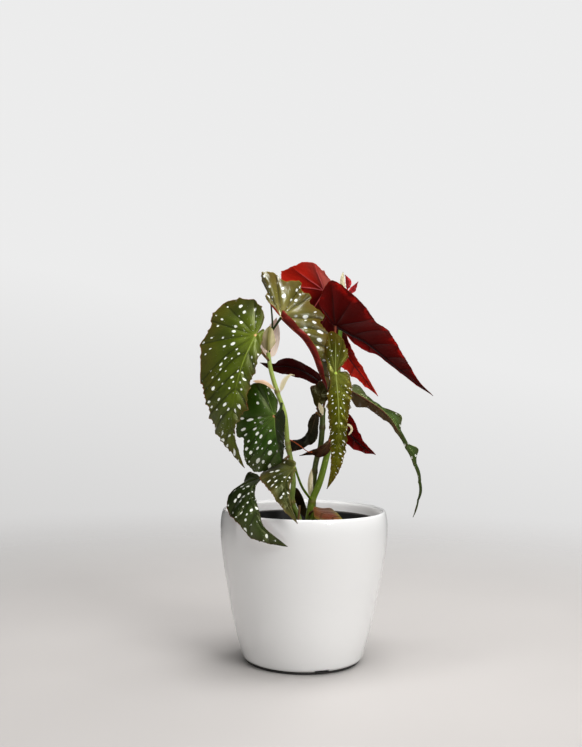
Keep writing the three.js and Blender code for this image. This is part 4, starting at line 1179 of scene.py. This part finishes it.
def smooth_profile(points, per=8):
    return [tuple(p) for p in catmull(points, np.linspace(0, 1, per * (len(points) - 1) + 1))]


def cut(piece, points, faces):
    """Takes a closed body out of a piece, and keeps the result as plain mesh."""
    cutter = make_object("cutter", points, faces)
    change = piece.modifiers.new("cut", "BOOLEAN")
    change.operation, change.solver, change.object = "DIFFERENCE", "EXACT", cutter
    graph = bpy.context.evaluated_depsgraph_get()
    result = bpy.data.meshes.new_from_object(piece.evaluated_get(graph))
    piece.modifiers.remove(change)
    piece.data = result
    bpy.data.objects.remove(cutter)


def block(low, high, turn):
    """The corners and faces of a box, turned round the upright axis."""
    corners = np.array([[x, y, z] for x in (low[0], high[0]) for y in (low[1], high[1])
                        for z in (low[2], high[2])])
    c, s = math.cos(turn), math.sin(turn)
    corners[:, :2] = corners[:, :2] @ np.array([[c, s], [-s, c]])
    return corners, [[0, 1, 3, 2], [4, 6, 7, 5], [0, 4, 5, 1], [2, 3, 7, 6], [0, 2, 6, 4],
                     [1, 5, 7, 3]]


def from_axis(paint):
    """How far each place is from the upright axis, and how high it lies, in metres."""
    x, y, z = paint.split(paint.place())
    return (x * x + y * y) ** 0.5, z


print("planter helpers ready")

# %% The glossy shell
glaze = Paint("glossy white", Emission_Strength=0.2, Coat_Weight=0.6, Coat_Roughness=0.03,
              Specular_IOR_Level=0.55)
radius, height = from_axis(glaze)
# Painted glow: just inside the rim the wall emits light, which brightens that shaded inner wall.
inner_wall_glow = radius.step(0.0992, 0.0976) * height.step(0.14, 0.15)
glaze.set(Base_Color=glaze.mix(glaze.noise(9, 2), rgb((240, 240, 239)), rgb((244, 244, 243))),
          Roughness=0.1 + 0.06 * glaze.noise(30, 3),
          Normal=glaze.bump(glaze.noise(14, 2), 0.0006, 0.2),
          Emission_Color=glaze.mix(inner_wall_glow, (0, 0, 0), (1, 0.98, 0.96)))

WALL = ((74, 4.6), (76.9, 11), (86.8, 47), (96.9, 98), (101, 123), (104, 146), (105, 163),
        (104.6, 176), (102.6, 186), (100.3, 188.4), (97.9, 186.4), (96.7, 181), (96.2, 150))
BASE, BORE = ((0, 3.3), (70, 3.3), (72, 3.4)), ((91.8, 98), (81.5, 47), (71, 11), (68, 8), (0, 8))
DRAIN_SLOT = ((-9, -88, 1), (9, -68, 6.3), math.radians(18))
GRIP_PLACE, GRIP_HEIGHTS, GRIP_RADIUS = 98.6, (184.9, 192), 1.3
shell = make_piece("planter_wall", *turned([*BASE, *smooth_profile(WALL), *BORE]),
                   "planter_shell", "planter_white", [glaze])
cut(shell, *block(*DRAIN_SLOT))
for side in (-1, 1):
    pin = np.array([[side * GRIP_PLACE, 0, z] for z in GRIP_HEIGHTS])
    cut(shell, *bar(pin, [GRIP_RADIUS] * 2, 20))
sharpen(shell, 35)
print("shell faces:", len(shell.data.polygons))

# %% [markdown]
# ## Planting insert, foot and potting mix
# Inside the shell stands a planting insert, grey on its thin top ring and near-black below it, and
# the whole rests on a foot plate that is painted near-black as painted shade in the gap under the
# planter. The mix is loose: a turned heap gives only a smooth mound, so its top is raised and
# lowered by noise and strewn with crumbs, and the canes stand in holes.

# %% Insert and foot
def plastic(name, roughness):
    paint = Paint(name)
    grain = paint.noise(300, 3)
    paint.set(Roughness=roughness + 0.12 * grain, Normal=paint.bump(grain, 0.0003, 0.3))
    return paint


# The insert is grey on its top ring and near-black below it.
grey = plastic("grey insert", 0.5)
_, height = from_axis(grey)
grey.set(Base_Color=grey.mix(height.step(0.1745, 0.173), rgb((84, 82, 80)), rgb((14, 14, 15))))
OUTSIDE = ((0, 8.3), (66, 8.3), (69.5, 12), (79.5, 47), (89.5, 98), (93.6, 150), (94.4, 170),
           (95.6, 172), (95.8, 173), (95.5, 175.1), (95, 175.3))
INSIDE = ((93.6, 175.3), (93, 174.8), (92.4, 170.2), (91.4, 150.2), (87.3, 98.2), (77.3, 47.2),
          (67.3, 12.2), (64, 10.8), (0, 10.8))
liner = make_piece("planting_insert", *turned([*OUTSIDE, *INSIDE]), "planter_liner",
                   "liner_grey", [grey])
sharpen(liner, 35)

# Painted shade: the foot plate is near-black, standing for the shade in the gap under the planter
# and behind the drain slot.
dark = plastic("foot in painted shade", 0.55)
dark.set(Base_Color=dark.mix(dark.noise(25, 4), rgb((34, 32, 31)), rgb((52, 49, 47))))
FOOT = ((0, 0), (70.4, 0), (71, 0.4), (72, 2), (72.5, 2.6), (72.2, 3), (0, 3))
foot = make_piece("foot_plate", *turned(FOOT), "planter_foot", "foot_dark", [dark])
sharpen(foot, 40)
print("insert and foot made")

# %% Paint of the potting mix
mix_paint = Paint("potting mix")
crumbs = mix_paint.cells(mix_paint.place(), 260.0)
fibre = mix_paint.noise(120, 5)
tones = ((0.3, rgb((24, 17, 12))), (0.5, rgb((52, 38, 27))), (0.7, rgb((86, 66, 47))))
tone = mix_paint.node("ShaderNodeValToRGB", {"stops": tones}, {"Fac": fibre})
mix_paint.set(Base_Color=mix_paint.mix(crumbs.step(0.5, 0.1) * 0.4, tone, rgb((40, 28, 20))),
              Roughness=0.92, Normal=mix_paint.bump(crumbs + fibre, 0.0015, 0.8))
print("mix painted")

# %% A rough heap with crumbs and holes
HEAP = ((0, 30, 60, 88, 91), (163, 163, 161, 159, 156))    # how high it lies at each radius
UNDER_HEAP = ((0, 11.1), (63, 11.1), (67, 12.5), (77, 47.5), (87, 98.5), (91.1, 150.5))
CRUMBS, CRUMB_REACH, CLEAR_OF_CANE = 170, 86, 9
rings = np.concatenate([np.linspace(2, 86, 56), [88, 89.5, 91]])
top = [(float(r), float(np.interp(r, *HEAP))) for r in rings[::-1]]
points, faces = turned([*UNDER_HEAP, *top, (0, 163)], 160)
rough = random.Random(5)
waves = [(rough.uniform(0.05, 0.9), rough.uniform(0, 2 * math.pi), rough.uniform(0, 6))
         for _ in range(26)]
x, y, z = points.T
lift = sum(0.9 / (1 + 3 * k) * np.sin(k * (x * math.cos(t) + y * math.sin(t)) + s)
           for k, t, s in waves)
z += np.where((z > 155.9) & (np.hypot(x, y) < 90.5), np.clip(lift * 0.7, -1.6, 2.2), 0)
feet = [cane["points"][0] for cane in CANES.values()]
for _ in range(CRUMBS):
    turn, far = rough.uniform(0, 2 * math.pi), CRUMB_REACH * math.sqrt(rough.random())
    x, y = far * math.cos(turn), far * math.sin(turn)
    centre = Vector((x, y, float(np.interp(far, (0, 88), (163.2, 159.4)))))
    if min(math.hypot(x - foot_x, y - foot_y) for foot_x, foot_y, _ in feet) < CLEAR_OF_CANE:
        continue
    lump = bmesh.new()
    bmesh.ops.create_icosphere(lump, subdivisions=2, radius=rough.uniform(1.2, 3.2))
    for corner in lump.verts:
        corner.co *= 1 + rough.uniform(-0.22, 0.22)
        corner.co.z *= 0.7
    first = len(points)
    points = np.vstack([points, [tuple(corner.co + centre) for corner in lump.verts]])
    faces += [[first + corner.index for corner in face.verts] for face in lump.faces]
    lump.free()
soil = make_piece("loose_mix", points, faces, "soil", "soil_brown", [mix_paint])
for cane in CANES.values():
    path, radius, _ = cane_path(cane)
    low = path[:, 2] < 172
    cut(soil, *bar(path[low] - [0, 0, 0.3], radius[low] + 0.35, CANE_SIDES))
sharpen(soil, 60)
print("mix faces:", len(soil.data.polygons))

# %% [markdown]
# ## Floor and light
# The planter stands on a plain pale floor. A floor that ends would draw a line behind the leaves,
# so it fades away with distance. A large key light, a fill, a top and a back light are kept out
# of mirrored rays, because a polished pot would show their edges as hard spots. What the glaze
# does show are two small strips, which light nothing else, and the tall soft window of the world.
# To the camera the world is a plain pale backdrop, which costs no wall and throws no shadow.

# %% Floor
FLOOR_RINGS, FLOOR_STEPS = (1, 100, 300, 600, 1000, 1600), 96
floor_paint = Paint("pale floor", Specular_IOR_Level=0.3)
away, _ = from_axis(floor_paint)
pale = floor_paint.mix(floor_paint.noise(3, 2), rgb((186, 182, 179)), rgb((194, 190, 187)))
floor_paint.set(Base_Color=pale, Roughness=0.55 + 0.1 * floor_paint.noise(6, 2),
                Alpha=away.step(1.5, 0.3))
ring = np.column_stack([circle(FLOOR_STEPS), np.zeros(FLOOR_STEPS)])
points = np.vstack([ring * radius for radius in FLOOR_RINGS])
faces = [face for i in range(len(FLOOR_RINGS) - 1) for face in band(i * FLOOR_STEPS, FLOOR_STEPS)]
floor = make_object("floor", points, [*faces, list(range(FLOOR_STEPS))])
floor.data.materials.append(floor_paint.material)
print("floor laid")

# %% Lights
def area_light(name, place, target, size, power, mirrored=False):
    """A soft light that polished surfaces don't show, or, if mirrored, that only they show."""
    lamp = bpy.data.lights.new(name, "AREA")
    lamp.shape, lamp.size, lamp.size_y, lamp.energy = "RECTANGLE", *size, power
    light = bpy.data.objects.new(name, lamp)
    light.location = place
    light.rotation_euler = (Vector(target) - Vector(place)).to_track_quat("-Z", "Y").to_euler()
    light.visible_glossy, light.visible_diffuse = mirrored, not mirrored
    bpy.context.scene.collection.objects.link(light)


area_light("key", (1.4, -1.7, 1.6), (0, 0, 0.25), (1.2, 1.2), 34)
area_light("fill", (-1.7, -0.9, 1.5), (0, 0, 0.35), (0.35, 1.1), 2)
area_light("top", (0.1, -0.1, 2.1), (0, 0, 0.2), (1.2, 1.2), 38)
area_light("back", (1.1, 1.4, 1.3), (0, 0, 0.38), (0.8, 0.8), 9)
area_light("high strip", (0.05, -0.55, 2.0), (0, 0, 0.38), (0.12, 0.5), 16, mirrored=True)
area_light("side strip", (1.03, -1.5, 1.0), (0, 0, 0.38), (0.2, 0.25), 12, mirrored=True)
print("lights set")

# %% The room around
world = bpy.data.worlds.new("pale room")
bpy.context.scene.world = world
world.use_nodes = True
room = Graph(world.node_tree)
dx, dy, dz = room.split(room.place("Generated"))
level = (dz + dx * 0.2 + 0.47).clamped() * 1.9
backdrop = room.mix(level.low(1.0), (0.48, 0.47, 0.46), (0.84, 0.84, 0.84))
ahead = dy + dx * 0.27
dim_left = ahead.step(-0.02, 0.03) * dx.step(-0.1, -0.35)
glow = room.mix(dim_left, (0.3, 0.3, 0.3), (0.02, 0.02, 0.02))
tall_window = ahead.step(0.0, -0.03) * dx.step(-0.3, -0.5) * dz.step(0.4, 0.15)
polished, seen = room.node("ShaderNodeLightPath", output=("Is Glossy Ray", "Is Camera Ray"))
glow = room.mix(tall_window * polished, glow, (1.1, 1.1, 1.1))
room.put(room.nodes["Background"].inputs["Color"], room.mix(seen, glow, backdrop))
bpy.context.scene.view_settings.view_transform = "Standard"
print("room set")
